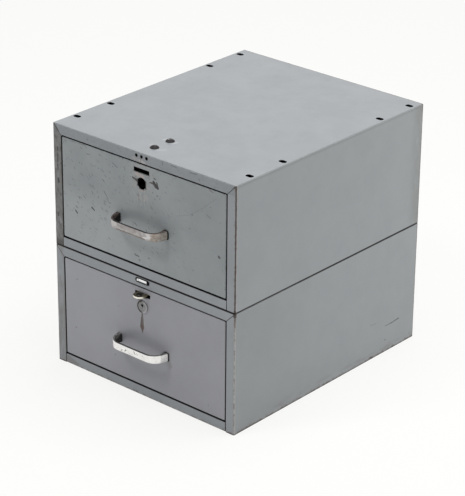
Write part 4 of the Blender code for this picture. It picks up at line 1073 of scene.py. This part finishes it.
rightCorner = (halfX - 0.5 * mm, frontY + 0.5 * mm)
cornerBlob = ((*rightCorner, 211.8 * mm), (*rightCorner, 204 * mm), 4.5, 7.0, 0.92, (0.032, 0.024, 0.020))
caseWear = {
    "upper_": {
        "frontRight": 0.8 * mm, "frontLeft": 0.9 * mm, "frontTop": 0.30 * mm, "sideTop": 0.18 * mm,
        "back": 0.5 * mm, "base": 0,
        "zones": [
            zone((0.120, 0.114, 0.100), 0.72, leftStile, frontOnly, belowMitre,
                 cell=(0.010, 0.010, 0.030), cover=0.54),
            zone((0.030, 0.028, 0.024), 0.92, leftStile, frontOnly, belowMitre,
                 cell=(0.0042, 0.004, 0.009), cover=0.33),
            zone((0.030, 0.028, 0.024), 0.75, leftStile, frontOnly, ramp("z", 0, 225, 214)),
            zone((0.13, 0.150, 0.16), 0.20, frontOnly, topRail),
            zone((0.11, 0.125, 0.13), 0.40, frontOnly, topRail, cell=(0.007, 0.02, 0.004), cover=0.30),
            zone((0.022, 0.016, 0.013), 0.90, ramp("x", halfX, -1.8, -1.1), ramp("y", frontY, 2.3, 1.4),
                 cell=(0.02, 0.02, 0.022), cover=0.60),
            zone(palePink, 0.6, ramp("x", halfX, -1.2, -0.4), ramp("y", frontY, 0.8, 2.0),
                 ramp("y", frontY, 4.5, 3.0), cell=(0.02, 0.02, 0.03), cover=0.48),
            zone((0.11, 0.11, 0.11), 0.34, ramp("x", halfX, -2.0, -0.7), ramp("z", 0, 409.5, 413.8)),
            zone((0.15, 0.148, 0.125), 0.42, ramp("x", halfX, -1.5, -0.7), ramp("y", 0, 196, 222),
                 cell=(0.02, 0.02, 0.07), cover=0.52),
        ],
        "marks": [
            *marksOn("y", frontY, {
                blackDirtAndShade: [
                    # painted shade in the three rail holes
                    *((step * 10.5, 409.6, step * 10.5 + 0.1, 409.6, 6.4, 6.4, 0.9) for step in (-1, 0, 1)),
                    (-180.8, 376.0, -180.2, 371.0, 2.6, 3.0, 0.85),
                    (-180.0, 364.0, -181.2, 352.0, 2.4, 2.8, 0.80),
                    (-181.6, 347.0, -180.6, 338.0, 2.6, 2.2, 0.80),
                    (-180.8, 322.5, -179.8, 317.5, 4.0, 4.4, 0.90),
                    (-183.2, 263.5, -182.4, 259.0, 3.4, 3.0, 0.85)],
                (0.52, 0.48, 0.46): [(-3.8, 403.0, 6.8, 401.2, 3.2, 3.0, 0.60)],
                palePink: [(-19.6, 404.0, -5.0, 402.0, 3.0, 3.5, 0.35)],
                brownMark: [(-1.6, 407.2, -1.8, 399.0, 1.1, 0.9, 0.70)],
                darkMark: [
                    (43.5, 415.1, 43.5, 407.8, 1.3, 0.8, 0.80),
                    (-115.1, 407.1, -114.1, 406.4, 2.0, 2.0, 0.55),
                    (-187.5, 300.0, -187.2, 283.0, 2.0, 1.6, 0.60),
                    (-176.5, 246.0, -177.5, 236.0, 2.2, 1.8, 0.55),
                    (61.8, 412.9, 71.9, 412.3, 1.6, 1.2, 0.60), (99.0, 411.8, 113.0, 412.9, 1.4, 1.6, 0.55),
                    (116.0, 406.5, 118.0, 403.9, 1.8, 1.4, 0.45)],
                (0.045, 0.040, 0.034): [(-186.5, 414.0, -178.0, 404.5, 2.2, 2.6, 0.85)],
                (0.070, 0.052, 0.042): [(184.5, 411.0, 189.5, 415.0, 2.4, 4.4, 0.75)],
            }),
            # Fresher paint round the bolt heads
            *marksOn("z", cadBox[1][2] - hangerBolt["headHeight"], {palePaint: [
                (-11.5, -165.0, -8.5, -157.0, 4.5, 5.0, 0.45), (8.5, -168.5, 12.0, -160.0, 5.0, 4.0, 0.45),
                (9.5, -203.0, 19.0, -193.0, 5.5, 3.5, 0.35), (-12.0, -193.0, -8.0, -188.0, 4.0, 3.0, 0.35)]}),
            cornerBlob,
        ],
    },
    "lower_": {
        "frontRight": 0.42 * mm, "frontLeft": 0.35 * mm, "frontTop": 0, "sideTop": 0, "back": 0.5 * mm,
        "base": 1.2 * mm,
        "zones": [
            zone(brownDirt, 0.50, leftStile, frontOnly, cell=(0.012, 0.012, 0.05), cover=0.42),
            # painted shade: the right side darker towards the front
            zone((0.19, 0.20, 0.20), 0.22, rightSide, ramp("y", 0, 20, -200)),
            zone(brownDirt, 0.5, ramp("z", 0, 22, 4), rightSide, cell=(0.03, 0.05, 0.012), cover=0.32),
            # pale line along the right front fold: worn paint, partly a painted highlight
            zone((0.55, 0.53, 0.50), 0.55, ramp("x", halfX, -2.2, -1.0), ramp("y", frontY, 3.0, 1.5),
                 cell=(0.02, 0.02, 0.05), cover=0.58),
            zone(brownMark, 0.8, ramp("x", halfX, -2.5, -1.2), ramp("y", frontY, 3.2, 1.8),
                 ramp("z", 0, 165, 200), cell=(0.008, 0.008, 0.016), cover=0.45),
        ],
        "marks": [
            *marksOn("y", frontY, {
                blackDirtAndShade: [
                    (172.4, 16.5, 172.4, 0.0, 1.2, 1.2, 0.85), (-172.6, 17.5, -172.4, 0.0, 2.4, 2.0, 0.90),
                    (-190.0, 0.4, -160.0, 0.4, 2.2, 3.0, 0.90)],
                (0.13, 0.115, 0.085): [(-168.0, 9.0, -146.0, 5.0, 12.0, 5.0, 0.42)],
            }),
            *marksOn("x", halfX, {
                (0.10, 0.095, 0.09): [(151.0, 47.6, 166.0, 47.4, 2.2, 1.6, 0.70)],
                darkMark: [(164.0, 47.2, 186.0, 48.8, 1.8, 2.6, 0.85)],
                (0.14, 0.13, 0.12): [(108.8, 63.0, 125.0, 61.6, 2.0, 1.6, 0.35)],
                (0.09, 0.08, 0.07): [(150.0, 22.0, 152.0, 21.2, 2.4, 2.4, 0.70)],
                rustMark: [
                    (112.0, 2.6, 118.0, 2.0, 5.0, 4.0, 0.80), (170.0, 1.6, 176.0, 1.2, 3.0, 3.5, 0.80),
                    (-2.0, 1.4, 4.0, 1.4, 3.0, 2.4, 0.75)],
            }),
            cornerBlob,
        ],
    },
}


def makeCaseEnamel(prefix):
    wear = caseWear[prefix]
    low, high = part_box(prefix + "case_shell")
    left, front, base = low
    right, back, top = high
    fine, middling, coarse = 260, 170, 120          # grain of the rubbed edge
    edges = [
        ((right, front, 0), upright, wear["frontRight"], middling),
        ((left, front, 0), upright, wear["frontLeft"], coarse),
        ((0, front, top), alongX, wear["frontTop"], fine),
        ((right, 0, top), alongY, wear["sideTop"], fine),
        ((left, 0, top), alongY, wear["sideTop"], coarse),
        ((0, back, top), alongX, wear["back"], coarse),
        ((0, front, base), alongX, wear["base"], coarse),
    ]
    for x in (left, right):
        edges += [((x, back, 0), upright, wear["back"], coarse), ((x, 0, base), alongY, wear["base"], coarse)]
    nicks = [((0.4, 0.7, 0.3), (0.028, 0.028, 0.028), 0.055, 0.16)]
    sideTint = zone((0.287, 0.306, 0.304), 0.40, ramp("aside", halfX, -5, -1.5))
    return makeEnamel(prefix + "caseEnamel", dict(
        enamel, edges=[edge for edge in edges if edge[2]], nicks=nicks,
        zones=[sideTint, *seamZones(low, high), *wear["zones"]], marks=wear["marks"]))


strokeLimits = (frontOnly, ramp("x", 0, 150, -10), ramp("z", 0, 225, 260))
strokes = [
    ((0, 0.50, 0), (0.026, 1.0, 0.0046), 0.19, 0.40, *strokeLimits),
    ((0, 0.72, 0), (0.029, 1.0, 0.0052), 0.18, 0.38, *strokeLimits),
    ((0, 0.95, 0), (0.023, 1.0, 0.0044), 0.18, 0.30, *strokeLimits)]
soot = (0.030, 0.028, 0.027)
longScratch = (0.13, 0.13, 0.125)
rawPink = (0.42, 0.355, 0.335)
drawerMarks = {                        # on the fronts, by colour
    "upper_": {
        darkMark: [
            (-61.0, 382.6, -50.5, 378.1, 1.2, 1.4, 0.75), (-80.5, 330.3, -75.6, 324.4, 1.6, 1.4, 0.75),
            (-75.4, 324.2, -70.9, 318.8, 1.2, 0.9, 0.65), (-115.8, 382.3, -110.4, 382.9, 2.0, 1.6, 0.45),
            (-87.1, 365.3, -80.7, 362.1, 1.2, 1.4, 0.55), (-109.6, 368.9, -103.2, 364.9, 1.4, 1.4, 0.35),
            (-111.7, 333.1, -106.3, 329.6, 1.4, 1.4, 0.45), (-105.1, 332.4, -100.9, 327.8, 1.4, 1.4, 0.45),
            (-131.0, 345.3, -125.5, 343.5, 1.6, 1.6, 0.45), (-37.7, 383.3, -34.6, 380.1, 1.8, 1.8, 0.40),
            (-151.4, 394.8, -118.7, 395.4, 1.2, 0.9, 0.55), (25.8, 381.6, 28.9, 380.9, 2.4, 2.4, 0.85),
            (-15.5, 243.2, -12.6, 242.0, 2.8, 2.8, 0.75), (-10.4, 242.4, -7.6, 241.2, 2.4, 2.6, 0.75),
            (-6.9, 236.4, -5.2, 235.4, 2.4, 2.4, 0.70), (13.5, 245.6, 15.0, 245.0, 2.8, 2.8, 0.50),
            (22.5, 357.7, 23.5, 357.2, 1.9, 1.9, 0.65), (31.8, 354.6, 32.8, 354.4, 2.2, 2.2, 0.70),
            (26.6, 348.2, 27.6, 348.1, 1.7, 1.7, 0.60), (36.9, 351.2, 38.0, 351.2, 1.9, 1.9, 0.60),
            (103.1, 345.3, 104.3, 344.9, 2.2, 2.2, 0.50)],
        soot: [
            (-107.2, 294.6, -101.8, 291.0, 3.4, 2.2, 0.90), (-143.9, 279.4, -139.6, 275.5, 2.6, 3.0, 0.90),
            (157.0, 292.4, 158.4, 291.4, 4.2, 4.2, 0.85)],
        (0.09, 0.05, 0.045): [(-135.4, 305.0, -133.7, 302.1, 2.0, 2.0, 0.65)],
        (0.040, 0.033, 0.029): [(17.5, 372.2, 25.0, 373.4, 2.4, 3.2, 0.95)],
        (0.010, 0.009, 0.008): [(24.6, 376.2, 33.0, 367.8, 3.6, 5.6, 0.98)],
        (0.030, 0.025, 0.022): [(23.8, 371.8, 29.0, 367.6, 2.4, 3.4, 0.90)],
        (0.020, 0.017, 0.015): [(31.6, 376.0, 33.2, 370.0, 2.8, 3.4, 0.92)],
        blackDirtAndShade: [                           # round the padlock slot and the lock hole
            (-16.2, 382.9, 16.2, 382.9, 1.8, 1.8, 0.92), (-8.5, 371.0, -8.5, 361.0, 2.6, 2.4, 0.94),
            (8.6, 371.0, 8.6, 359.0, 2.6, 2.8, 0.94), (-4.6, 357.0, 5.0, 356.4, 1.8, 1.8, 0.85)],
        brownMark: [
            (138.8, 395.0, 144.8, 392.4, 1.6, 1.4, 0.75), (-12.5, 374.5, -10.0, 366.0, 1.6, 1.6, 0.60),
            (-4.5, 355.5, 4.0, 353.2, 1.2, 1.2, 0.60)],
        longScratch: [
            (72.7, 333.8, 99.1, 343.3, 1.2, 1.2, 0.24), (99.1, 343.3, 125.1, 362.4, 1.2, 1.4, 0.28),
            (125.1, 362.4, 150.8, 384.5, 1.4, 1.0, 0.24)],
        (0.10, 0.10, 0.095): [(133.1, 353.5, 139.1, 350.4, 2.8, 3.2, 0.35)],
        rawPink: [
            (-10.5, 379.0, 3.0, 376.8, 6.0, 6.0, 0.70), (-5.6, 353.9, 6.9, 354.2, 2.4, 2.6, 0.65)],
        (0.030, 0.025, 0.021): [(-18.5, 371.0, -10.0, 368.6, 3.0, 4.6, 0.94)],
        (0.17, 0.145, 0.125): [(-6.8, 349.0, -5.8, 325.0, 1.6, 1.2, 0.40)],
        (0.42, 0.39, 0.36): [
            (-3.6, 350.0, -3.2, 328.0, 1.8, 1.2, 0.32), (5.6, 349.0, 5.4, 332.0, 1.6, 1.2, 0.28)],
        (0.19, 0.16, 0.14): [(2.3, 350.2, 2.8, 325.4, 1.8, 1.2, 0.38)],
    },
    "lower_": {
        (0.085, 0.060, 0.050): [(-1.0, 148.5, -1.8, 121.9, 2.2, 8.5, 0.88)],       # streak below the lock
        (0.100, 0.058, 0.046): [(-1.8, 122.4, -0.7, 111.0, 8.5, 0.8, 0.90)],
        (0.050, 0.036, 0.030): [(-3.2, 138.0, -4.4, 123.0, 1.4, 2.4, 0.70)],
        palePink: [(3.4, 133.0, 3.8, 127.0, 1.6, 2.4, 0.45)],
        # painted shadow line under the padlock staple
        (0.045, 0.038, 0.032): [(-17.0, 174.2, 9.0, 174.2, 2.2, 2.2, 0.85)],
        brownMark: [(-9.0, 167.2, 3.0, 168.2, 2.0, 1.6, 0.55)],
        (0.15, 0.125, 0.10): [(54.6, 84.0, 58.5, 74.0, 4.0, 8.0, 0.32)],
        darkMark: [
            (-144.1, 159.1, -143.0, 158.6, 2.0, 2.0, 0.55), (-149.0, 71.8, -147.8, 71.3, 2.0, 2.0, 0.55),
            (-52.7, 141.5, -51.6, 141.1, 2.4, 2.4, 0.30)],
    },
}
drawerWear = {
    "upper_": {
        "edge": 0.3 * mm,
        "topGapShade": blackDirtAndShade,
        "look": {
            "colour": (0.298, 0.321, 0.330), "mottle": (0.252, 0.276, 0.285), "nickStrength": 0.80,
            "nicks": [*strokes, ((0, 0.30, 0), (0.013, 1.0, 0.012), 0.11, 0.40, frontOnly)],
            "zones": [
                # painted reflection of the floor: lighter towards the lower left
                zone((0.41, 0.435, 0.445), 0.40, frontOnly, ramp("z", 0, 330, 285), ramp("x", 0, 30, -60)),
                zone((0.21, 0.23, 0.236), 0.22, frontOnly, ramp("x", 0, 40, 120)),
                zone((0.13, 0.13, 0.13), 0.26, frontOnly, ramp("z", 0, 225, 240), ramp("x", 0, 150, 20),
                     cell=(0.009, 0.05, 0.016), cover=0.24),
                zone((0.44, 0.40, 0.36), 0.55, frontOnly, ramp("z", 0, 330, 345), ramp("aside", 0, 34, 12),
                     cell=(0.005, 0.02, 0.009), cover=0.34),
            ],
        },
    },
    "lower_": {
        "edge": 0.2 * mm,
        "topGapShade": (0.10, 0.10, 0.105),
        "look": {
            "colour": (0.320, 0.322, 0.348), "mottle": (0.298, 0.301, 0.326), "nickStrength": 0.62,
            "nicks": [((0, 0.40, 0), (0.038, 1.0, 0.036), 0.05, 0.26, frontOnly)],
            "zones": [
                zone((0.20, 0.18, 0.155), 0.45, frontOnly, ramp("z", 0, 150, 158), ramp("aside", 0, 35, 12),
                     cell=(0.008, 0.02, 0.008), cover=0.30),
                zone((0.40, 0.405, 0.425), 0.30, frontOnly, ramp("x", 0, -30, -100)),
            ],
        },
    },
}


def makeDrawerEnamel(prefix):
    wear = drawerWear[prefix]
    low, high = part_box(prefix + "drawer_front")
    left, front, base = low
    right, _, top = high
    grain = 160
    edges = [((x, front, 0), upright, wear["edge"], grain) for x in (left, right)]
    edges += [((0, front, z), alongX, wear["edge"], grain) for z in (base, top)]
    deep = ramp("y", front, 0.15, 0.8)
    deeper = ramp("y", front, 0.6, 1.4)
    folds = ramp("y", front, 8, 5)
    walls = ramp("y", front, 1.18, 1.08)
    # painted shade on the returns round the drawer front and on the walls of the padlock slot and lock hole
    gaps = [
        zone(blackDirtAndShade, 0.96, deeper, folds, ramp("aside", right, -1.9, -1.2)),
        zone(blackDirtAndShade, 0.96, deep, folds, ramp("z", base, 1.9, 1.2)),
        zone(wear["topGapShade"], 0.96, deeper, folds, ramp("z", top, -0.9, -0.3)),
        zone(blackDirtAndShade, 0.96, deep, walls, ramp("aside", 0, 18.5, 17.5), ramp("z", top, -46, -45),
             ramp("z", top, -3.5, -4.5)),
    ]
    marks = marksOn("y", front, drawerMarks[prefix])
    look = dict(enamel, edges=edges, marks=marks, flatNicks=True, **wear["look"])
    look["zones"] = gaps + look["zones"]
    return makeEnamel(prefix + "drawerEnamel", look)


def makeTrayEnamel():
    nicks = [((0, 0, 0.5), (0.05, 0.007, 0.02), 0.16, 0.35), ((0.3, 0.2, 0.1), (0.03, 0.03, 0.03), 0.07, 0.3)]
    zones = [zone(brownDirt, 0.45, cell=(0.07, 0.07, 0.05), cover=0.24)]
    return makeEnamel("trayEnamel", dict(enamel, nicks=nicks, zones=zones, roughness=0.44))


# Metals
def faceWays(tree):                    # the way that the surface looks, by axis
    return addNode(tree, "SeparateXYZ", {0: addNode(tree, "NewGeometry").outputs["Normal"]}).outputs


scuff = (0.13, 0.125, 0.12)
castMetals = {
    "lower_": {
        "name": "castBright", "colour": (0.87, 0.865, 0.855), "dull": (0.77, 0.76, 0.745),
        "pit": (0.10, 0.095, 0.09), "rough": (0.22, 0.38), "shade": (0.15, 0.15, 0.142), "dirt": None,
        "marks": {
            scuff: [
                (-22.0, 84.4, -19.5, 85.6, 1.6, 1.8, 0.80), (-13.2, 86.4, -11.2, 88.4, 2.0, 2.4, 0.75),
                (6.0, 91.6, 8.6, 87.8, 1.8, 2.2, 0.75), (12.2, 91.0, 13.2, 87.4, 1.4, 1.6, 0.65)],
            (0.25, 0.24, 0.23): [(-4.0, 85.0, 3.0, 84.2, 1.0, 1.0, 0.40)],
        },
    },
    "upper_": {
        "name": "castDull", "colour": (0.42, 0.402, 0.398), "dull": (0.31, 0.292, 0.288),
        "pit": (0.10, 0.09, 0.08), "rough": (0.34, 0.50), "shade": (0.085, 0.066, 0.060),
        "dirt": (0.31, 0.26, 0.20),
        "marks": {
            (0.60, 0.585, 0.57): [(-40.0, 297.0, -31.0, 299.0, 11.0, 8.0, 0.50)],
            (0.24, 0.21, 0.20): [(-18.0, 298.5, 12.0, 299.0, 7.0, 6.0, 0.40)],
            (0.14, 0.11, 0.09): [(-28.0, 291.2, 30.0, 291.2, 3.0, 3.0, 0.70)],
            (0.74, 0.735, 0.73): [(36.0, 302.0, 38.6, 296.0, 6.5, 7.5, 0.50)],
            (0.72, 0.71, 0.70): [(28.0, 293.8, 34.0, 294.2, 2.4, 3.4, 0.60)],
        },
    },
}
gripTopShade = (0.022, 0.021, 0.020)
innerShade = (0.011, 0.010, 0.010)


def makeCastMetal(prefix):
    look = castMetals[prefix]
    low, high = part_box(prefix + "handle")
    material, tree, shader, place = newMaterial(look["name"])
    axes = measure(tree, place)
    cloud = fade(tree, noise(tree, place, 130, 5, 0.65), 0.35, 0.68)
    lines = useGroup(tree, brushGroup, {"Vector": place, "Cell": (0.02, 0.0009, 0.0009)})["Lines"]
    pits = useGroup(tree, nickGroup, {
        "Vector": place, "Turn": (0.2, 0.4, 0.1), "Cell": (0.006, 0.006, 0.006), "Size": 0.2,
        "Share": 0.3})["Mask"]
    colour = blend(tree, cloud, look["colour"], look["dull"])
    streaks = calc(tree, "ADD", times(tree, lines, 0.6), times(tree, cloud, 0.5))
    rough = fade(tree, streaks, 0.25, 0.8, *look["rough"])
    if look["dirt"]:                   # brown dirt at the right-hand bend
        grime = grimeCloud(tree, place, (0.008, 0.008, 0.004), 0.42)
        bend = times(tree, grime, fade(tree, axes["x"], 36 * mm, 42 * mm))
        colour = tint(tree, colour, look["dirt"], bend, 0.85)
        rough = calc(tree, "MULTIPLY_ADD", bend, 0.2, rough)
    colour = layMarks(tree, place, colour, marksOn("y", low[1], look["marks"]))
    facing = faceWays(tree)            # painted shade on the top faces, standing in for the dark room they reflect: darkest on the grip, with a painted highlight stripe along the legs
    upward = fade(tree, facing[2], 0.35, 0.75)
    leg = fade(tree, axes["aside"], 34 * mm, 40 * mm)
    legHighlight = fade(tree, noise(tree, place, 330, 2, 0.5), 0.55, 0.66)
    shade = tint(tree, look["shade"], [3 * value for value in look["shade"]], legHighlight, leg)
    colour = tint(tree, colour, blend(tree, leg, gripTopShade, shade), upward, 0.92)
    inward = times(tree, facing[0], calc(tree, "SIGN", axes["x"]))        # painted shade on the inner faces, painted light on their upper part on the legs, and a painted contact shadow at the right foot
    hidden = largest(tree, fade(tree, inward, -0.25, -0.6), fade(tree, facing[1], 0.2, 0.5))
    foot = times(tree, fade(tree, axes["y"], frontY - 3.2 * mm, frontY - 2.2 * mm),
                 fade(tree, axes["x"], -1 * mm, 1 * mm))
    hidden = largest(tree, hidden, foot)
    deeper = fade(tree, axes["y"], low[1] + bowHandle["grip"], high[1])
    higher = fade(tree, axes["z"], low[2], high[2])
    innerLight = fade(tree, calc(tree, "SUBTRACT", higher, deeper), -0.05, 0.15)
    colour = tint(tree, colour, tint(tree, innerShade, look["shade"], innerLight, leg), hidden, 0.95)
    rough = calc(tree, "MULTIPLY_ADD", largest(tree, upward, hidden), 0.15, rough)
    colour = tint(tree, colour, look["pit"], pits, 0.8)
    grain = noise(tree, place, 1500, 3, 0.6)
    height = calc(tree, "MULTIPLY_ADD", pits, -6.0, calc(tree, "MULTIPLY_ADD", cloud, 3.0, grain))
    bump = addNode(tree, "Bump", {"Height": height, "Distance": 0.012 * mm, "Strength": 1.0})
    shader.inputs["Metallic"].default_value = 1.0
    feed(tree, shader, {"Base Color": colour, "Roughness": rough, "Normal": bump.outputs[0]})
    return material


allRound = (0.004, 0.004, 0.004)       # brushed the same way along every axis
plateMetals = {
    "zinc": {
        "colour": (0.56, 0.56, 0.57), "dull": (0.40, 0.40, 0.40), "dirt": (0.16, 0.13, 0.10),
        "metal": 0.95, "rough": (0.30, 0.50), "cover": 0.20, "brush": allRound},
    "brass": {
        "colour": (0.46, 0.40, 0.25), "dull": (0.26, 0.23, 0.14), "dirt": (0.07, 0.065, 0.045),
        "metal": 0.9, "rough": (0.32, 0.55), "cover": 0.34, "brush": (0.001, 0.012, 0.004)},
    "darkSteel": {
        "colour": (0.034, 0.031, 0.032), "dull": (0.020, 0.018, 0.019), "dirt": (0.045, 0.034, 0.030),
        "metal": 0.0, "rough": (0.50, 0.68), "cover": 0.16, "brush": allRound, "specular": 0.15},
    "nickel": {
        "colour": (0.30, 0.30, 0.305), "dull": (0.22, 0.22, 0.22), "dirt": (0.11, 0.095, 0.08),
        "metal": 0.35, "rough": (0.42, 0.60), "cover": 0.22, "brush": allRound},
    "innerSteel": {
        "colour": (0.47, 0.47, 0.475), "dull": (0.33, 0.33, 0.33), "dirt": (0.16, 0.11, 0.075),
        "metal": 0.9, "rough": (0.28, 0.50), "cover": 0.20, "brush": (0.0012, 0.08, 0.0012)},
}


def makePlateMetal(name, look):
    material, tree, shader, place = newMaterial(name)
    cloud = fade(tree, noise(tree, place, 90, 5, 0.65), 0.34, 0.70)
    lines = useGroup(tree, brushGroup, {"Vector": place, "Cell": look["brush"]})["Lines"]
    grime = grimeCloud(tree, place, (0.014, 0.014, 0.014), look["cover"])
    colour = tint(tree, look["colour"], look["dull"], calc(tree, "ADD", cloud, lines), 0.5)
    colour = tint(tree, colour, look["dirt"], grime, 0.8)
    rough = fade(tree, lines, 0.3, 0.7, *look["rough"])
    rough = calc(tree, "MULTIPLY_ADD", grime, 0.22, rough)
    metal = calc(tree, "MULTIPLY_ADD", grime, -0.6 * look["metal"], look["metal"])
    height = calc(tree, "MULTIPLY_ADD", grime, 2.0, lines)
    bump = addNode(tree, "Bump", {"Height": height, "Distance": 0.008 * mm, "Strength": 1.0})
    feed(tree, shader, {
        "Base Color": colour, "Roughness": rough, "Metallic": metal, "Normal": bump.outputs[0],
        "Specular IOR Level": look.get("specular", 0.5)})
    return material, tree, shader, place


def overlay(tree, shader, colour, *shares):      # lay a further finish over the shader's base colour
    socket = shader.inputs["Base Color"]
    tree.links.new(tint(tree, socket.links[0].from_socket, colour, *shares), socket)


def howFar(tree, place, keep, centre):           # from a centre line, across the axes that are kept
    flat = vectorCalc(tree, "MULTIPLY", place, keep).outputs[0]
    return vectorCalc(tree, "DISTANCE", flat, centre).outputs["Value"]


def makeStapleBrass():                 # bright where the shackle and hands have rubbed the nose
    material, tree, shader, place = makePlateMetal("stapleBrass", plateMetals["brass"])
    low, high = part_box("lower_padlock_staple")
    upward = faceWays(tree)[2]
    overlay(tree, shader, (0.070, 0.062, 0.045), fade(tree, upward, 0.5, 0.85), 0.8)
    # painted shade in and round the eye
    reach = howFar(tree, place, (1, 1, 0), (0, low[1] + high[0], 0))
    overlay(tree, shader, (0.016, 0.014, 0.011), fade(tree, reach, 6.0 * mm, 5.2 * mm))
    nose = fade(tree, measure(tree, place)["y"], low[1] + 9 * mm, low[1] + 6 * mm)
    overlay(tree, shader, (0.90, 0.88, 0.80), nose, fade(tree, upward, 0.8, 0.45), 0.9)
    return material


def makeLockNickel():                  # painted light on the rim's right half, painted shade with dirt on its left half, and painted shade round the key hole
    material, tree, shader, place = makePlateMetal("lockNickel", plateMetals["nickel"])
    _, _, midZ = lockCentre()
    x = measure(tree, place)["x"]
    rim = fade(tree, howFar(tree, place, (1, 0, 1), (0, 0, midZ)), 7.6 * mm, 8.4 * mm)
    overlay(tree, shader, (0.38, 0.38, 0.39), rim, fade(tree, x, -1 * mm, 5 * mm))
    overlay(tree, shader, (0.030, 0.021, 0.017), rim, fade(tree, x, 3 * mm, -3 * mm))
    keyReach = howFar(tree, place, (1, 0, 1), (0, 0, midZ + camLock["keyRise"]))
    overlay(tree, shader, (0.016, 0.014, 0.013), fade(tree, keyReach, 3.0 * mm, 2.2 * mm))
    return material


def makeBoltSteel():                   # dark, with bright spots on the top of the dome
    material, tree, shader, place = makePlateMetal("boltSteel", plateMetals["darkSteel"])
    spots = fade(tree, noise(tree, place, 380, 3, 0.6), 0.55, 0.62)
    overlay(tree, shader, (0.34, 0.34, 0.34), spots, fade(tree, faceWays(tree)[2], 0.88, 0.96), 0.85)
    return material


def makeNameplateMetal():              # a bright bar in a black border, which is painted shade along the plate's edges
    material, tree, shader, place = makePlateMetal("nameplateMetal", dict(
        plateMetals["zinc"], colour=(0.90, 0.90, 0.90), dull=(0.80, 0.80, 0.80), cover=0.02))
    low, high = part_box("lower_nameplate")
    axes = measure(tree, place)
    border = None
    limits = ramp("aside", 0, 9.8, 10.6), ramp("z", low[2], 2.8, 2.1), ramp("z", high[2], -1.8, -1.2)
    for axis, start, end in limits:
        border = largest(tree, border, fade(tree, axes[axis], start, end))
    overlay(tree, shader, (0.012, 0.012, 0.014), border)
    return material


# Floor and room
def seenShare(tree):                   # what the camera sees by itself, in a gloss or through glass
    rays = addNode(tree, "LightPath").outputs
    share = largest(tree, rays["Is Camera Ray"], rays["Is Glossy Ray"])
    return largest(tree, share, rays["Is Transmission Ray"])


def makeFloor():
    deselect()
    level = cadBox[0][2] - studio["floorDrop"]
    bpy.ops.mesh.primitive_plane_add(size=studio["floorSize"], location=(0, 0, level))
    floor = nameNew("studioFloor")
    material, tree, shader, _ = newMaterial("paleFloor")
    seen = seenShare(tree)
    feed(tree, shader, {
        "Base Color": blend(tree, seen, studio["floorColour"], studio["floorSeen"]), "Roughness": 1.0,
        "Specular IOR Level": 0.0, "Emission Color": studio["floorGlow"],
        "Emission Strength": times(tree, seen, studio["floorLift"])})
    floor.data.materials.append(material)


def makeRoom():
    world = bpy.data.worlds.new("studioRoom")
    bpy.context.scene.world = world
    world.use_nodes = True
    tree = world.node_tree
    fill = tree.nodes["Background"]
    feed(tree, fill, {"Color": studio["roomColour"], "Strength": studio["roomFill"]})
    seen = addNode(tree, "Background", {"Color": studio["roomColour"], "Strength": studio["backdrop"]})
    mixed = addNode(tree, "MixShader", {0: seenShare(tree), 1: fill.outputs[0], 2: seen.outputs[0]})
    tree.links.new(mixed.outputs[0], tree.nodes["World Output"].inputs["Surface"])
    bpy.context.scene.view_settings.view_transform = "Standard"


caseEnamel = {prefix: makeCaseEnamel(prefix) for prefix in units}
drawerEnamel = {prefix: makeDrawerEnamel(prefix) for prefix in units}
castMetal = {prefix: makeCastMetal(prefix) for prefix in units}
trayEnamel = makeTrayEnamel()
boltSteel = makeBoltSteel()
lockNickel = makeLockNickel()
finishes = {                           # for the CAD pieces that keep their shape, by their slot
    "inner_steel": makePlateMetal("innerSteel", plateMetals["innerSteel"])[0],
    "zinc_steel": makePlateMetal("zincPlate", plateMetals["zinc"])[0],
    "old_brass": makePlateMetal("oldBrass", plateMetals["brass"])[0],
    "dark_steel": boltSteel,
}
print("materials ready")

for prefix in units:
    for makePiece in (makeCaseShell, makeBottomRail, makeBasePan, makeBackPanel):
        makePiece(prefix, caseEnamel[prefix])
    makeDrawerFront(prefix, drawerEnamel[prefix])
    makeDrawerTray(prefix, trayEnamel)
    makeHandle(prefix, castMetal[prefix])
    for row in ("front", "rear"):
        makeDomedBolt(
            f"{prefix}hangerHead_{row}", f"{prefix}hanger_bolt_{row}", "case", "dark_steel", boltSteel,
            hangerBolt["headHeight"], hangerBolt["shank"])
    print(prefix + "unit built")
makeStaple(makeStapleBrass())
makeLockBarrel(lockNickel)
makeLockPlug(lockNickel)
makeNameplate(makeNameplateMetal())
print("lock, staple and nameplate built")

slotOf = {part["node"]: part["material_slot"] for part in frame["record"]["subparts"]}
for name, node in frame["nodes"].items():
    if slotOf[name] in finishes:
        node.data.materials.clear()
        node.data.materials.append(finishes[slotOf[name]])

placeCamera()
hangLamps()
makeFloor()
makeRoom()
print("scene ready")
